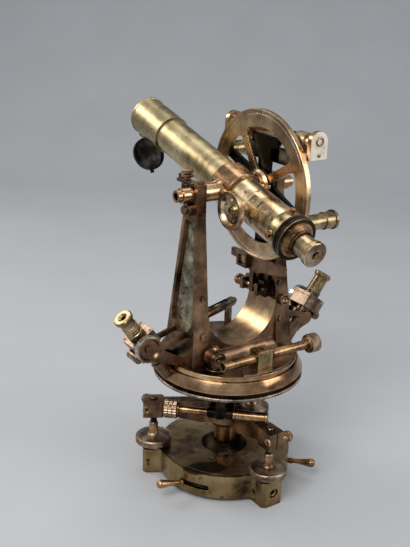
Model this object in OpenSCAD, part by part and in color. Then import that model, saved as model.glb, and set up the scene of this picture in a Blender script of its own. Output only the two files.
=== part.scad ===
// Five-inch micrometer theodolite in lacquered bronze and brass.
// Millimetres, +Z up. The origin is the centre of the tripod socket's mouth, on the vertical axis.
// +Y is toward the objective, -Y toward the eyepiece, -X and +X are the two standards.

/* [Foot plate] */
// Radius of the round plate
plate_r = 67.5; // [64:0.5:72]
// Height of the plate's top above the surface that it stands on
plate_top = 28.5; // [26:0.5:34]
// Thickness of the plate's deck
deck_t = 6.5; // [5:0.5:9]
// Thickness of the plate's side wall
plate_wall = 4; // [3:0.5:5]
// Height of the side wall's lower edge
rim_z = 4; // [3:0.5:6]
// Radius of the socket that the tripod's thread enters
socket_r = 24; // [20:0.5:25]
// Distance of the footscrews beyond the edge of the round plate
foot_reach = 6.5; // [5:0.5:9]
// Width of each lobe under a footscrew
lobe_w = 25; // [22:0.5:30]
// Fillet between the round plate and a lobe
lobe_fillet = 9; // [6:0.5:12]
// Angle that each lever slot spans in the side wall
slot_angle = 27; // [22:1:34]

/* [Levelling screws] */
// Radius of the ball at the lower end of a footscrew
ball_r = 6.4; // [5:0.1:7]
// Radius of a footscrew's knurled disc
disc_r = 18.2; // [15:0.1:20]
// Thickness of the knurled disc's rim
disc_t = 7; // [5:0.5:9]
// Radius of the hub above the disc
screw_hub_r = 4.4; // [4:0.1:5.5]
// Radius of the threaded stem
stem_r = 3.1; // [2.6:0.1:3.6]

/* [Tribrach] */
// Height of the tribrach's top face
tribrach_top = 80; // [77:0.5:84]
// Height of the split block at each arm's end
block_h = 18; // [16:0.5:20]
// Length of a split block along its arm
block_l = 21; // [19:0.5:24]
// Width of a split block
block_w = 17; // [15:0.5:20]
// Width of an arm
arm_w = 11; // [9:0.5:13]
// Radius of the boss that hangs into the foot plate's socket
boss_r = 11.5; // [11:0.25:14]
// Radius of the bore for the vertical axes
axis_bore_r = 9; // [8:0.25:9.5]
// Radius of the socket drum on top
drum_r = 16; // [14:0.5:18]

/* [Lower slow motion] */
// Distance of the tangent screw's line from the vertical axis
tangent_r = 44; // [42:0.5:50]
// Direction of the lug, in degrees from +X
tangent_az = -132.8; // [-140:0.5:-125]
// Radius of the knurled heads
tangent_head_r = 9; // [7:0.25:10]
// Radius of the smooth rod
rod_r = 3.6; // [3:0.1:4.2]

/* [Horizontal circle] */
// Outer radius of the circle and of the bevel over it
circle_r = 75; // [72:0.5:80]
// Height of the circle's lower edge
circle_z = 114.6; // [113:0.2:117]
// Thickness of the circle's edge
circle_t = 2.8; // [2:0.2:4]
// Radius on which the microscopes read the graduation
read_r = 64.5; // [62:0.5:67]

/* [Alidade] */
// Height of the black gap band
gap_h = 4.2; // [3:0.1:6]
// Height of the bevel
bevel_h = 9.5; // [8:0.25:11]
// How far the bevel comes in
bevel_in = 5; // [4:0.25:7]
// Height of the step above the bevel
step_h = 5.5; // [4:0.25:7]
// Radius of the inner vertical axis
spindle_r = 5.5; // [4.5:0.1:6]

/* [Standards] */
// Height of the transit axis
axis_z = 301; // [290:1:312]
// Distance of the uprights' inner faces from the middle
inner_x = 40.5; // [39.5:0.25:43]
// Thickness of an upright at the bearing
bearing_w = 9.5; // [8:0.25:12]
// Thickness of an upright at its foot
foot_w = 19.5; // [17:0.5:22]
// Half width of an upright at its foot
foot_half = 26; // [24:0.5:29]
// Half width of an upright at the bearing block
head_half = 12; // [11:0.5:14]
// Thickness of the ribs round the outer panel
rib_t = 4; // [3:0.25:5]
// Depth of the outer panel
panel_d = 5.5; // [4:0.25:6.5]
// Radius of the U trough between the uprights
trough_r = 40; // [38:0.5:40]
// Height of the U trough's axis
trough_z = 189; // [186:0.5:194]
// Front and back faces of the U trough
trough_half = 22; // [18:0.5:24]
// Radius of the hollow flare at the foot of the trough's front plate
flare_r = 12; // [8:0.5:16]
// Width of the slot in the right upright's inner face
slot_w = 12; // [10:0.5:16]
// Depth of that slot
slot_d = 3; // [1.5:0.25:4]
// Straight height of that slot
slot_h = 15; // [10:1:20]

/* [Transit axis] */
// Radius of the journals
journal_r = 6; // [5:0.1:6.5]
// Radius of the axis between the journals
axis_r = 9; // [8:0.1:9.5]
// Half length of the journals' outer ends
journal_x = 66; // [64:0.5:70]
// Elevation of the telescope as photographed
sight_tilt = 15; // [0:1:30]

/* [Telescope] */
// Outer radius of the telescope's tubes
tube_r = 18.2; // [17:0.1:19]
// Wall of the tubes
tube_wall = 1.5; // [1:0.1:2]
// Outer radius of the hub that the tubes meet in
hub_r = 21.5; // [20.5:0.1:22]
// Distance from the transit axis to the objective end
front_l = 169; // [160:1:176]
// Length of the dew cap
dew_l = 51; // [44:1:56]
// Outer radius of the dew cap
dew_r = 20; // [19.6:0.1:21]
// Distance from the transit axis to the reticle ring
rear_l = 88; // [84:1:94]
// Radius of the reticle ring
reticle_r = 20.6; // [20:0.1:21.5]
// Radius of the eyepiece tube
eye_r = 10.4; // [9.5:0.1:11]
// Length of the eyepiece tube outside its collar
eye_l = 13; // [11:0.5:16]
// Distance of the focusing wheel's axis from the transit axis
focus_s = 36; // [33:0.5:40]
// Radius of the focusing wheel
focus_r = 17.4; // [15:0.1:18]

/* [Vertical circle] */
// Outer radius of the vertical circle
vc_r = 72.6; // [70:0.2:74]
// Width of its rim
vc_rim = 16.6; // [14:0.2:19]
// Left face of the circle
vc_x = 26; // [25.4:0.1:27]
// Thickness of the rim
vc_t = 5.5; // [4.5:0.1:5.8]
// Width of a spoke
spoke_w = 8.5; // [7:0.25:10]

/* [Index arm and level] */
// Thickness of the index arm
arm_t = 4; // [3:0.25:4.2]
// Height of the altitude level's axis
level_z = 349.5; // [347:0.5:354]
// Radius of the altitude level's tube
level_r = 8; // [7:0.25:8.5]
// Half length between the altitude level's end plates
level_half = 61; // [56:0.5:66]
// Inclination of the arms that carry the circle's microscopes
micro_tilt = 21; // [17:1:25]

/* [Micrometer microscopes] */
// Inclination of each microscope from the vertical
scope_tilt = 36.5; // [33:0.5:40]
// Radius of a microscope's tube
scope_r = 7; // [6:0.25:8]
// Distance from the graduation to the micrometer box
scope_l = 54; // [50:0.5:58]
// Radius of a micrometer drum
micro_drum_r = 12.8; // [11:0.2:14]

/* [Fits] */
// Radial play of a shaft that turns in its bore
run_fit = 0.05; // [0.02:0.01:0.08]
// Gap between faces that move past each other
gap = 0.3; // [0.2:0.05:0.4]

/* [Hidden] */
foot_circle_r = plate_r + foot_reach;       // circle through the footscrews
$fn = 64;

bronze = "#8a5a3c";
brass = "#b59a56";
green_brass = "#7d7148";
silver = "#b9b3a6";
black = "#1d1c1b";
glass = "#9fb4b8";

e = 0.01;                                   // cuts run this far past a face
foot_angles = [-90, 150, 30];               // front, left and right footscrew
wall_r = plate_r - plate_wall;              // inside of the side wall
lobe_r = foot_circle_r + 11;                // outer end of a lobe
lobe_h = plate_top - 1.5;                   // the lobes lie just below the deck's top
neck_r = socket_r + 7;                      // ring wall round the tripod socket
ball_z = ball_r + 6.2;                      // centre of a footscrew's ball
seat_r = ball_r + gap;
disc_z = plate_top + 2.5;                   // lower face of the knurled disc
disc_top = disc_z + disc_t;
screw_hub_top = tribrach_top - block_h - 8.5;
stem_top = tribrach_top + 1.5;
lever_z = 14;                               // height of the levers' necks
ring_t = 5;                                 // thickness of the locking ring
lever_az = -162;                            // first lever, at the start of its slot
arm_foot_z = tribrach_top - 26;             // lower edge of the arms at the hub
block_in = foot_circle_r - 10;              // inner face of a split block
drum_h = circle_z - tribrach_top - 17.5;    // socket drum
limb_hub_z = tribrach_top + drum_h + gap;   // lower face of the circle's hub
limb_hub_r = drum_r + 1;
sleeve_r = axis_bore_r - run_fit;           // outer vertical axis
sleeve_in = spindle_r + run_fit;
circle_top = circle_z + circle_t;
skirt_z = circle_top + 0.5;                 // lower edge of the alidade's black band
bevel_z = skirt_z + gap_h;
step_z = bevel_z + bevel_h;
deck_z = step_z + step_h;                   // top face of the alidade plate
step_r = circle_r - bevel_in - 1.5;
tangent_z = tribrach_top + 6;
clamp_z = limb_hub_z + 2;                   // lower face of the clamp ring
clamp_h = circle_z - clamp_z - 7.5;
upper_z = deck_z + 11.5;                    // height of the upper slow motion
upper_y = -53.5;                            // its distance in front of the axis
clamp_x = -41;                              // middle of the upper clamp
head_top = axis_z + 7.4;                    // top of a bearing block
cap_z = head_top + gap;
cap_t = 3;
collar_r = journal_r + 1.2;
vc_in = vc_r - vc_rim;                      // inner radius of the vertical circle's rim
index_x = vc_x + vc_t + 1;                  // left face of the index arm
level_x = index_x + arm_t + 6;
tail_z = axis_z - 107;                      // height of the clip screws
tail_y = 10.5;                              // middle of the index arm's tail
reticle_end = rear_l + 9;                   // rear face of the reticle ring
collar_end = reticle_end + 7;
tube_in = tube_r - tube_wall;

// A solid of revolution round the X axis, its profile as [radius, x] points
module about_x(points) rotate([0, 90, 0]) rotate_extrude() polygon(points);
// The same round the sight line, its profile as [radius, distance toward the objective]
module about_sight(points) sight() rotate([-90, 0, 0]) rotate_extrude() polygon(points);
// Moves its children to the transit axis, tilted as the telescope lies
module sight() translate([0, 0, axis_z]) rotate([sight_tilt, 0, 0]) children();
// A cylinder along X, from x0 over length l
module rod_x(r, x0, l) translate([x0, 0, 0]) rotate([0, 90, 0]) cylinder(r = r, h = l);
// A cylinder along Y, from y0 over length l
module rod_y(r, y0, l) translate([0, y0, 0]) rotate([-90, 0, 0]) cylinder(r = r, h = l);
// A plate drawn in XZ and standing between y0 and y0 + t
module plate_xz(y0, t) translate([0, y0 + t, 0]) rotate([90, 0, 0]) linear_extrude(t) children();
// A plate drawn in YZ and standing between x0 and x0 + t
module plate_yz(x0, t) translate([x0, 0, 0]) rotate([90, 0, 90]) linear_extrude(t) children();
// A tube along Z with a chamfer c at both outer edges
module turned_ring(ro, ri, h, c = 0.6)
    rotate_extrude() polygon([[ri, 0], [ro - c, 0], [ro, c], [ro, h - c], [ro - c, h], [ri, h]]);
// A knob along Z: knurled head of radius r with chamfers, a waist groove and a dished face
module knob(r, h)
    rotate_extrude() polygon([[0, 0], [r - 2, 0], [r - 2, 0.8], [r, 1.8], [r, h - 1], [r - 1, h],
                              [r * 0.55, h], [r * 0.5, h - 0.7], [0, h - 0.7]]);

// Foot plate

// Fillet that flows from the round plate into one side of a lobe lying along +X
module lobe_fillet_2d() {
    cx = sqrt(pow(plate_r + lobe_fillet, 2) - pow(lobe_w / 2 + lobe_fillet, 2));
    cy = lobe_w / 2 + lobe_fillet;
    k = plate_r / (plate_r + lobe_fillet);
    difference() {
        polygon([[cx * k, cy * k], [cx, cy], [cx, lobe_w / 2 - 1], [cx * k - 3, lobe_w / 2 - 1]]);
        translate([cx, cy]) circle(lobe_fillet);
    }
}
module foot_outline() {
    circle(plate_r, $fn = 128);
    for (a = foot_angles) rotate(a) {
        lobe_fillet_2d();
        mirror([0, 1]) lobe_fillet_2d();
    }
}
module foot_plate() color(green_brass) difference() {
    union() {
        translate([0, 0, rim_z]) linear_extrude(plate_top - rim_z) foot_outline();
        cylinder(r = neck_r, h = plate_top - 1);
        for (a = foot_angles) rotate(a) linear_extrude(lobe_h) difference() {
            translate([foot_circle_r - 14, -lobe_w / 2]) square([lobe_r - foot_circle_r + 14, lobe_w]);
            for (s = [-1, 1]) translate([lobe_r, s * lobe_w / 2]) rotate(45) square(5, center = true);
        }
    }
    difference() {
        translate([0, 0, -1]) cylinder(r = wall_r, h = plate_top - deck_t + 1, $fn = 128);
        translate([0, 0, -2]) cylinder(r = neck_r, h = plate_top);
    }
    translate([0, 0, -1]) cylinder(r = socket_r, h = plate_top + 2);
    for (a = foot_angles) rotate(a) {
        translate([foot_circle_r, 0, ball_z]) cylinder(r = seat_r, h = plate_top);
        translate([foot_circle_r, 0, ball_z]) sphere(seat_r);
        translate([foot_circle_r, 0, lever_z]) rotate([0, 90, 0]) cylinder(r = 5.2, h = 20);
    }
    for (i = [0 : 2]) rotate(lever_az - 3 + 120 * i) translate([0, 0, lever_z - 2.8])
        rotate_extrude(angle = slot_angle) translate([wall_r - 6, 0]) square([plate_wall + 12, 5.6]);
}

// Locking ring that turns under the deck round the socket's wall
module locking_ring() color(black) translate([0, 0, lever_z - ring_t / 2])
    turned_ring(wall_r - 0.8, neck_r + gap, ring_t);
// One lever: a neck, a beaded elbow and a tapered bent arm that rises a little to its ball end
module lever() {
    translate([wall_r - 0.8, 0, 0]) rotate([0, 90, 0]) cylinder(r = 2, h = 8.5);
    translate([wall_r + 7, 0, 0]) rotate([0, 0, -22]) rotate([0, 78, 0])
        rotate_extrude() polygon([[0, -3], [2.6, -2], [2.9, 0], [2.6, 2], [1.9, 3], [3, 20], [3.7, 21.2],
            [4, 22.6], [3.6, 24.4], [2.2, 25.8], [0, 25.8]]);
}
module lever_handles() color(brass) translate([0, 0, lever_z])
    for (i = [0 : 2]) rotate(lever_az + 120 * i) lever();

// Footscrews

module footscrew(a) color(silver) rotate(a) translate([foot_circle_r, 0, 0]) {
    rotate_extrude() polygon([[0, ball_z], [3.4, ball_z], [3.4, disc_z - 1.5], [disc_r - 4, disc_z],
        [disc_r - 0.8, disc_z], [disc_r, disc_z + 0.8], [disc_r, disc_top - 0.8], [disc_r - 0.8, disc_top],
        [screw_hub_r + 2, disc_top + 2.2], [screw_hub_r, disc_top + 4], [screw_hub_r, screw_hub_top - 0.6],
        [screw_hub_r - 0.6, screw_hub_top], [stem_r, screw_hub_top], [stem_r, stem_top - 0.5],
        [stem_r - 0.5, stem_top], [0, stem_top]]);
    translate([0, 0, ball_z]) sphere(ball_r);
}
module footscrew_front() footscrew(foot_angles[0]);
module footscrew_left() footscrew(foot_angles[1]);
module footscrew_right() footscrew(foot_angles[2]);

// Tribrach: boss, three arms and split blocks, one casting

module tribrach_arm() {
    rotate([90, 0, 0]) translate([0, 0, -arm_w / 2]) linear_extrude(arm_w)
        polygon([[2, arm_foot_z + 1], [boss_r + 14, arm_foot_z + 1], [block_in, tribrach_top - block_h + 2],
                 [block_in + 4, tribrach_top - block_h + 2], [block_in + 4, tribrach_top - 1],
                 [2, tribrach_top - 1]]);
    translate([0, 0, tribrach_top - block_h]) linear_extrude(block_h) polygon([
        [block_in, 2 - block_w / 2], [block_in + 2, -block_w / 2], [block_in + block_l, -block_w / 2],
        [block_in + block_l, block_w / 2], [block_in + 2, block_w / 2], [block_in, block_w / 2 - 2]]);
}
module tribrach() color(bronze) difference() {
    union() {
        translate([0, 0, plate_top + 3]) turned_ring(boss_r, axis_bore_r - 1, tribrach_top - plate_top - 6);
        translate([0, 0, arm_foot_z]) rotate_extrude() polygon([[0, 0], [boss_r + 4, 0], [boss_r + 8, 5],
            [boss_r + 8, tribrach_top - arm_foot_z - 1.5], [boss_r + 6.5, tribrach_top - arm_foot_z],
            [0, tribrach_top - arm_foot_z]]);
        for (a = foot_angles) rotate(a) tribrach_arm();
    }
    translate([0, 0, plate_top]) cylinder(r = axis_bore_r, h = tribrach_top);
    for (a = foot_angles) rotate(a) {
        translate([foot_circle_r, 0, plate_top]) cylinder(r = stem_r + run_fit, h = tribrach_top);
        translate([foot_circle_r, -0.6, tribrach_top - block_h - 1]) cube([block_l, 1.2, block_h + 2]);
        translate([foot_circle_r + 7.2, -block_w, tribrach_top - block_h / 2]) rotate([-90, 0, 0])
            cylinder(r = 1.8, h = 2 * block_w);
    }
}
// Ball-headed screws that close the split blocks on the footscrews
module tribrach_clamps() color(brass) for (a = foot_angles) rotate(a)
    translate([foot_circle_r + 7.2, 0, tribrach_top - block_h / 2])
    rotate([a == foot_angles[1] ? 90 : -90, 0, 0]) {
        translate([0, 0, -block_w / 2 + 1]) cylinder(r = 1.8 - run_fit, h = block_w - 1);
        translate([0, 0, block_w / 2]) cylinder(r = 4.2, h = 2.5);
        translate([0, 0, block_w / 2 + 2.5]) cylinder(r = 2.2, h = 2);
        translate([0, 0, block_w / 2 + 7.2]) sphere(5.2);
    }
module socket_drum() color(black) translate([0, 0, tribrach_top])
    turned_ring(drum_r, axis_bore_r, drum_h, 1);

// Lower clamp and slow motion, set out in a frame whose +X points at the lug

module lug_frame() rotate(tangent_az) children();
module lower_clamp_ring() color(black) lug_frame() {
    translate([0, 0, clamp_z]) difference() {
        union() {
            turned_ring(limb_hub_r + 6, limb_hub_r + run_fit, clamp_h);
            translate([limb_hub_r + 4, -4.5, 0]) cube([tangent_r + 4 - limb_hub_r - 4, 9, clamp_h]);
            translate([-limb_hub_r - 11, -6, 0]) cube([7, 12, clamp_h]);
        }
        cylinder(r = limb_hub_r + run_fit, h = 3 * clamp_h, center = true);
        translate([-limb_hub_r - 12, -0.6, -1]) cube([12, 1.2, clamp_h + 2]);
        translate([-limb_hub_r - 8.5, -10, clamp_h / 2]) rotate([-90, 0, 0]) cylinder(r = 1.8, h = 20);
    }
    translate([tangent_r - 4, -4.5, tangent_z - 5]) cube([8, 9, clamp_z - tangent_z + 5]);
}
module lower_clamp_screw() color(brass) lug_frame()
    translate([-limb_hub_r - 8.5, 0, clamp_z + clamp_h / 2]) rotate([-90, 0, 0]) {
        translate([0, 0, -5]) cylinder(r = 1.75, h = 14);
        translate([0, 0, 6 + gap]) cylinder(r = 3, h = 10);
        translate([0, 0, 16]) knob(7.5, 7);
    }
lug_gap = 4.5 + gap;                        // half width of the lug with its play
nut_end = 13;                               // outer faces of the two nuts
module lower_yoke() color(black) lug_frame() translate([0, 0, tangent_z]) {
    for (s = [-1, 1]) difference() {
        union() {
            translate([drum_r - 2, s * (lug_gap + nut_end) / 2 - 3, -3]) cube([tangent_r - drum_r, 6, 6]);
            translate([tangent_r, s * (lug_gap + nut_end) / 2, 0]) rotate([90, 0, 0])
                cylinder(r = 5.2, h = nut_end - lug_gap - 1, center = true);
        }
        translate([tangent_r, 0, 0]) rotate([90, 0, 0]) cylinder(r = 2.7, h = 60, center = true);
        translate([0, 0, -5]) cylinder(r = drum_r, h = 10);
    }
}
module lower_tangent_screw() color(bronze) lug_frame()
    translate([tangent_r, -lug_gap, tangent_z]) rotate([90, 0, 0]) {
        cylinder(r = 2.65, h = 9);
        translate([0, 0, nut_end - lug_gap]) cylinder(r = rod_r, h = 28);
        translate([0, 0, 36]) knob(tangent_head_r, 15);
    }
module lower_spring_box() color(bronze) lug_frame()
    translate([tangent_r, lug_gap, tangent_z]) rotate([-90, 0, 0]) {
        cylinder(r = 2.65, h = 9);
        translate([0, 0, nut_end - lug_gap - 0.5]) rotate_extrude() polygon([[0, 0], [5, 0], [5, 31], [5.7, 31.5],
            [5.7, 33.5], [4.6, 34.3], [0, 34.3]]);
    }

// Horizontal circle with its hollow axis

module horizontal_circle() color(silver) rotate_extrude($fn = 128) polygon([
    [sleeve_in, plate_top + 5], [sleeve_r - 0.5, plate_top + 5], [sleeve_r, plate_top + 5.5],
    [sleeve_r, limb_hub_z], [limb_hub_r, limb_hub_z], [limb_hub_r, circle_z - 3.2],
    [circle_r - 3, circle_z - 1.5], [circle_r, circle_z],
    [circle_r, circle_top - 0.4], [circle_r - 0.4, circle_top], [read_r - 6, circle_top],
    [read_r - 6, circle_top - 1.5], [spindle_r + 9, circle_top - 1.5], [sleeve_in, circle_top - 1.5]]);

// Alidade plate: inner axis, ribbed cover, black band, polished bevel and flat deck

module alidade_plate() color(bronze) difference() {
    rotate_extrude($fn = 128) polygon([
        [0, plate_top + 1], [spindle_r - 0.8, plate_top + 1], [spindle_r, plate_top + 2],
        [spindle_r, circle_top - 0.9], [spindle_r + 8, circle_top - 0.9], [spindle_r + 8, deck_z - 4],
        [step_r - 4, deck_z - 4], [step_r - 1, step_z - 3], [circle_r - 6, bevel_z], [circle_r - 6, skirt_z],
        [circle_r - 2.6, skirt_z], [circle_r - 2.6, bevel_z], [circle_r, bevel_z],
        [circle_r, bevel_z + 0.8], [circle_r - bevel_in, step_z], [step_r, step_z],
        [step_r, deck_z - 0.6], [step_r - 0.6, deck_z], [0, deck_z]]);
    for (a = [0, 180]) rotate(a) scope_frame() cylinder(r = scope_r + 0.02, h = 40);
}
module cover_plate() color(silver) translate([0, 0, deck_z]) difference() {
    rotate(-113) rotate_extrude(angle = 55) translate([step_r - 12, 0]) square([11, 1.4]);
    translate([-8.5 - gap, upper_y - 7 - gap, -1]) cube([17 + 2 * gap, 14 + 2 * gap, 4]);
}

// Standards: two uprights with channelled outer sides, joined by a U trough, one casting

// Outline of one upright seen along X
module upright_side(inset = 0) {
    k = inset;
    polygon([[-foot_half + k, deck_z + 3 * k], [foot_half - k, deck_z + 3 * k],
             [head_half - k, axis_z - 21 - k], [-head_half + k, axis_z - 21 - k]]);
}
// Outline of the right upright seen along Y, its outer face leaning in
module upright_front(cut = 0) polygon([[inner_x, deck_z], [inner_x + foot_w - cut, deck_z],
    [inner_x + bearing_w - cut, axis_z - 21], [inner_x + bearing_w - cut, axis_z + 40], [inner_x, axis_z + 40]]);
module upright() difference() {
    union() {
        intersection() {
            plate_yz(inner_x - 1, foot_w + 2) union() {
                upright_side();
                translate([-head_half, axis_z - 22]) square([2 * head_half, head_top - axis_z + 22]);
            }
            plate_xz(-foot_half - 1, 2 * foot_half + 2) upright_front();
        }
        translate([inner_x + bearing_w - 1, 0, axis_z - 14]) rod_x(6.2, 0, 6);
        translate([inner_x + bearing_w - 1, 0, axis_z - 14]) rod_x(4, 0, 9);
        translate([inner_x, head_half - 1, axis_z - 8]) cube([bearing_w, 5, head_top - axis_z + 8]);
    }
    // the recessed outer panel, with a rounded lower end
    intersection() {
        plate_yz(inner_x, foot_w + 2) union() {
            intersection() {
                upright_side(rib_t);
                translate([-foot_half, panel_z + panel_r]) square([2 * foot_half, axis_z]);
            }
            translate([0, panel_z + panel_r]) circle(panel_r);
        }
        difference() {
            translate([inner_x, -foot_half, deck_z]) cube([foot_w + 2, 2 * foot_half, axis_z]);
            plate_xz(-foot_half - 1, 2 * foot_half + 2) upright_front(panel_d);
        }
    }
    // the open wye for the journal
    translate([0, 0, axis_z]) rod_x(journal_r + run_fit, inner_x - 1, bearing_w + 12);
    translate([inner_x - 1, -journal_r - run_fit, axis_z]) cube([bearing_w + 2, 2 * (journal_r + run_fit), 20]);
    // threads of the cap's two screws
    translate([inner_x + bearing_w / 2, cap_pivot_y, axis_z - 8]) cylinder(r = 1.6, h = 30);
    translate([inner_x + bearing_w / 2, cap_lock_y, axis_z - 4]) cylinder(r = 1.6, h = 30);
}
panel_z = deck_z + 29;                      // rounded lower end of the outer panel
panel_r = upright_y(panel_z + 17) - rib_t;
cap_pivot_y = -head_half + 2.7;
cap_lock_y = head_half + 0.8;
trough_out = trough_r + 5;
slot_y = -11.5;                             // middle of the slot in the right upright
slot_z = axis_z - 112;                      // its lower end
flare_x = clamp_x + 11;                     // left end of the flare, clear of the upper clamp
module standards() color(bronze) {
    difference() {
        upright();
        // slot in the inner face of the right upright
        translate([inner_x - 1, slot_y - slot_w / 2 + 0.2, slot_z]) cube([slot_d + 1, slot_w - 0.4, slot_h]);
        translate([0, slot_y, slot_z + slot_h]) rod_x(slot_w / 2, inner_x - 1, slot_d + 1);
    }
    mirror([1, 0, 0]) upright();
    // hollow flare at the foot of the trough's front plate
    difference() {
        translate([flare_x, -trough_half - flare_r, deck_z])
            cube([inner_x - flare_x + 1, flare_r + 1, flare_r]);
        translate([0, -trough_half - flare_r - 0.5, deck_z + flare_r + 0.5])
            rod_x(flare_r + 0.2, flare_x - 1, inner_x - flare_x + 4);
    }
    // U trough: a half tube along Y with front and back plates down to the deck
    difference() {
        translate([-inner_x - 2, -trough_half, deck_z]) cube([2 * inner_x + 4, 2 * trough_half, trough_z - deck_z - 4]);
        translate([0, 0, trough_z]) rod_y(trough_r, -trough_half - 1, 2 * trough_half + 2);
        difference() {
            translate([-inner_x + 3, -trough_half + 4, deck_z - 1])
                cube([2 * inner_x - 6, 2 * trough_half - 8, trough_z - deck_z]);
            translate([0, 0, trough_z]) rod_y(trough_out, -trough_half, 2 * trough_half);
        }
    }
}
// Screws in the standards' feet, front faces and panels
module standard_screws() color(brass) {
    for (s = [-1, 1]) {
        on_front(s * (inner_x + 6), deck_z + 30) rod_y(3.6, -2.2, 2.2);
        on_front(s * (inner_x + 5), deck_z + 67) rod_y(3, -2, 2);
    }
    on_front(inner_x + 8.2, deck_z + 50) difference() {
        rod_y(6, -5, 5);
        translate([0, -6, 0]) sphere(4.6);
    }
}
// Stands its children on the sloping front face of an upright, at height z
module on_front(x, z) translate([x, -upright_y(z) - 0.02, z]) rotate([-face_slope, 0, 0]) children();
face_slope = atan((foot_half - head_half) / (axis_z - 21 - deck_z));
// Half width of an upright at height z
function upright_y(z) = foot_half + (head_half - foot_half) * (z - deck_z) / (axis_z - 21 - deck_z);

// Bearing caps, each pivoted at its front end and held by a captive screw

module bearing_cap() color(silver) difference() {
    union() {
        translate([inner_x + 0.5, -head_half - 1, cap_z]) cube([bearing_w - 1, 2 * head_half + 14, cap_t]);
        translate([inner_x + bearing_w / 2, cap_pivot_y, cap_z - gap]) cylinder(r = 3.4, h = cap_t + gap + 3);
        translate([inner_x + bearing_w / 2, head_half + 10.5, cap_z]) cylinder(r = 3.2, h = cap_t + 4);
    }
    translate([inner_x + bearing_w / 2, cap_lock_y, cap_z - 1]) cylinder(r = 2.2, h = 8);
}
module cap_right() bearing_cap();
module cap_left() mirror([1, 0, 0]) bearing_cap();
module cap_screw() color(brass) translate([inner_x + bearing_w / 2, cap_lock_y, cap_z]) {
    cylinder(r = 2, h = cap_t + gap);
    translate([0, 0, cap_t + gap]) rotate_extrude() polygon([[0, 0], [3.2, 0], [3.2, 2], [5.4, 2.6],
        [5.4, 4.6], [3, 5.2], [3, 6], [5.4, 6.6], [5.4, 9.6], [4.6, 10.3], [0, 10.3]]);
}
module cap_screw_right() cap_screw();
module cap_screw_left() mirror([1, 0, 0]) cap_screw();

// Transit axis with the hub that holds the tubes

module transit_axis() color(bronze) difference() {
    union() {
        translate([0, 0, axis_z]) about_x([[0, -journal_x], [journal_r - 0.3, -journal_x],
            [journal_r - 0.3, -journal_x + 5], [collar_r, -journal_x + 5],
            [collar_r, -inner_x - bearing_w - gap], [journal_r, -inner_x - bearing_w - gap],
            [journal_r, -inner_x + gap], [axis_r, -inner_x + 2], [axis_r, -hub_r - 1], [13, -hub_r + 8],
            [13, hub_r + 0.4], [14, hub_r + 0.4], [14, hub_r + 2], [axis_r, hub_r + 2.5], [axis_r, inner_x - 2],
            [journal_r, inner_x - gap], [journal_r, inner_x + bearing_w + gap],
            [collar_r, inner_x + bearing_w + gap], [collar_r, journal_x - 5],
            [journal_r - 0.3, journal_x - 5], [journal_r - 0.3, journal_x], [0, journal_x]]);
        sight() rotate([-90, 0, 0]) rotate(50) rotate_extrude() polygon([[0, -14], [hub_r - 0.8, -14],
            [hub_r, -13], [hub_r, 12], [hub_r - 1, 14], [tube_r + 0.8, 16], [0, 16]]);
    }
    sight() rotate([0, 50, 0]) rod_y(tube_in, -30, 60);
    translate([0, 0, axis_z]) for (s = [-1, 1]) rod_x(3.6, s * (journal_x - 12) - 13, 26);
}
// Front tube, from the hub to the objective cell inside the dew cap
dew_s = front_l - dew_l;
module front_tube() color(green_brass) about_sight([[tube_in, 16], [tube_r, 16], [tube_r, dew_s + 14],
    [tube_r - 0.4, dew_s + 14.4], [tube_in, dew_s + 14.4]]);
module rear_tube() color(brass) difference() {
    union() {
        about_sight([[tube_in - 1, -rear_l], [tube_r, -rear_l], [tube_r, -14], [tube_in - 1, -14]]);
        sight() translate([0, -focus_s, 0]) rod_x(7, -tube_r - 3.2, 6);
    }
    sight() translate([0, -focus_s, 0]) rod_x(3 + run_fit, -tube_r - 5, 12);
    sight() rod_y(tube_in, -rear_l - 1, rear_l + 20);
}
// Dew cap: a slip-on tube with a turned bead at its mouth
module dew_cap() color(green_brass) {
    about_sight([[tube_r + run_fit, dew_s], [dew_r, dew_s], [dew_r, front_l - 3], [dew_r + 0.6, front_l - 2.6],
        [dew_r + 0.6, front_l - 0.5], [dew_r + 0.1, front_l], [tube_r + run_fit, front_l]]);
    sight() difference() {
        for (s = [-1, 1]) translate([s * 3.6 - 1, front_l - 5, -dew_r - 4.2]) cube([2, 9, 4.2]);
        translate([0, hinge_s, -hinge_d]) rod_x(1 + run_fit, -6, 12);
    }
}
// Dust cap, hinged under the mouth and hanging open
lid_r = 18;
hinge_s = front_l + 2;
hinge_d = dew_r + 2.5;
lid_open = 222;
module dust_cap() color(black) sight() translate([0, hinge_s, -hinge_d]) rotate([-lid_open, 0, 0]) {
    translate([0, -0.9, hinge_d]) rod_y(lid_r, -0.8, 1.6);
    translate([0, -0.9, hinge_d]) difference() {
        rod_y(lid_r, 0, 3);
        rod_y(lid_r - 1.4, 0, 4);
    }
    translate([-2.3, -1.7, 0]) cube([4.6, 1.6, hinge_d - lid_r + 2]);
    rod_x(1.6, -2.3, 4.6);
    rod_x(1, -5, 10);
    translate([-2, -1.7, hinge_d + lid_r - 1]) cube([4, 1.6, 4]);
}
module objective_lens() color(glass) {
    about_sight([[0, dew_s + 6], [8, dew_s + 6.3], [tube_in - 0.02, dew_s + 8],
        [tube_in - 0.02, dew_s + 11], [8, dew_s + 12.6], [0, dew_s + 13]]);
}
module reticle_ring() color(black) about_sight([[eye_r + 0.05, -collar_end], [eye_r + 1.6, -collar_end],
    [eye_r + 1.6, -reticle_end - 3.4], [eye_r + 4.6, -reticle_end], [reticle_r - 0.8, -reticle_end],
    [reticle_r, -reticle_end + 0.8], [reticle_r, -reticle_end + 4], [reticle_r - 0.8, -reticle_end + 4.6],
    [reticle_r - 0.8, -reticle_end + 5.4], [reticle_r, -reticle_end + 6], [reticle_r, -rear_l - 0.6],
    [reticle_r - 0.6, -rear_l], [eye_r + 0.05, -rear_l]]);
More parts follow.
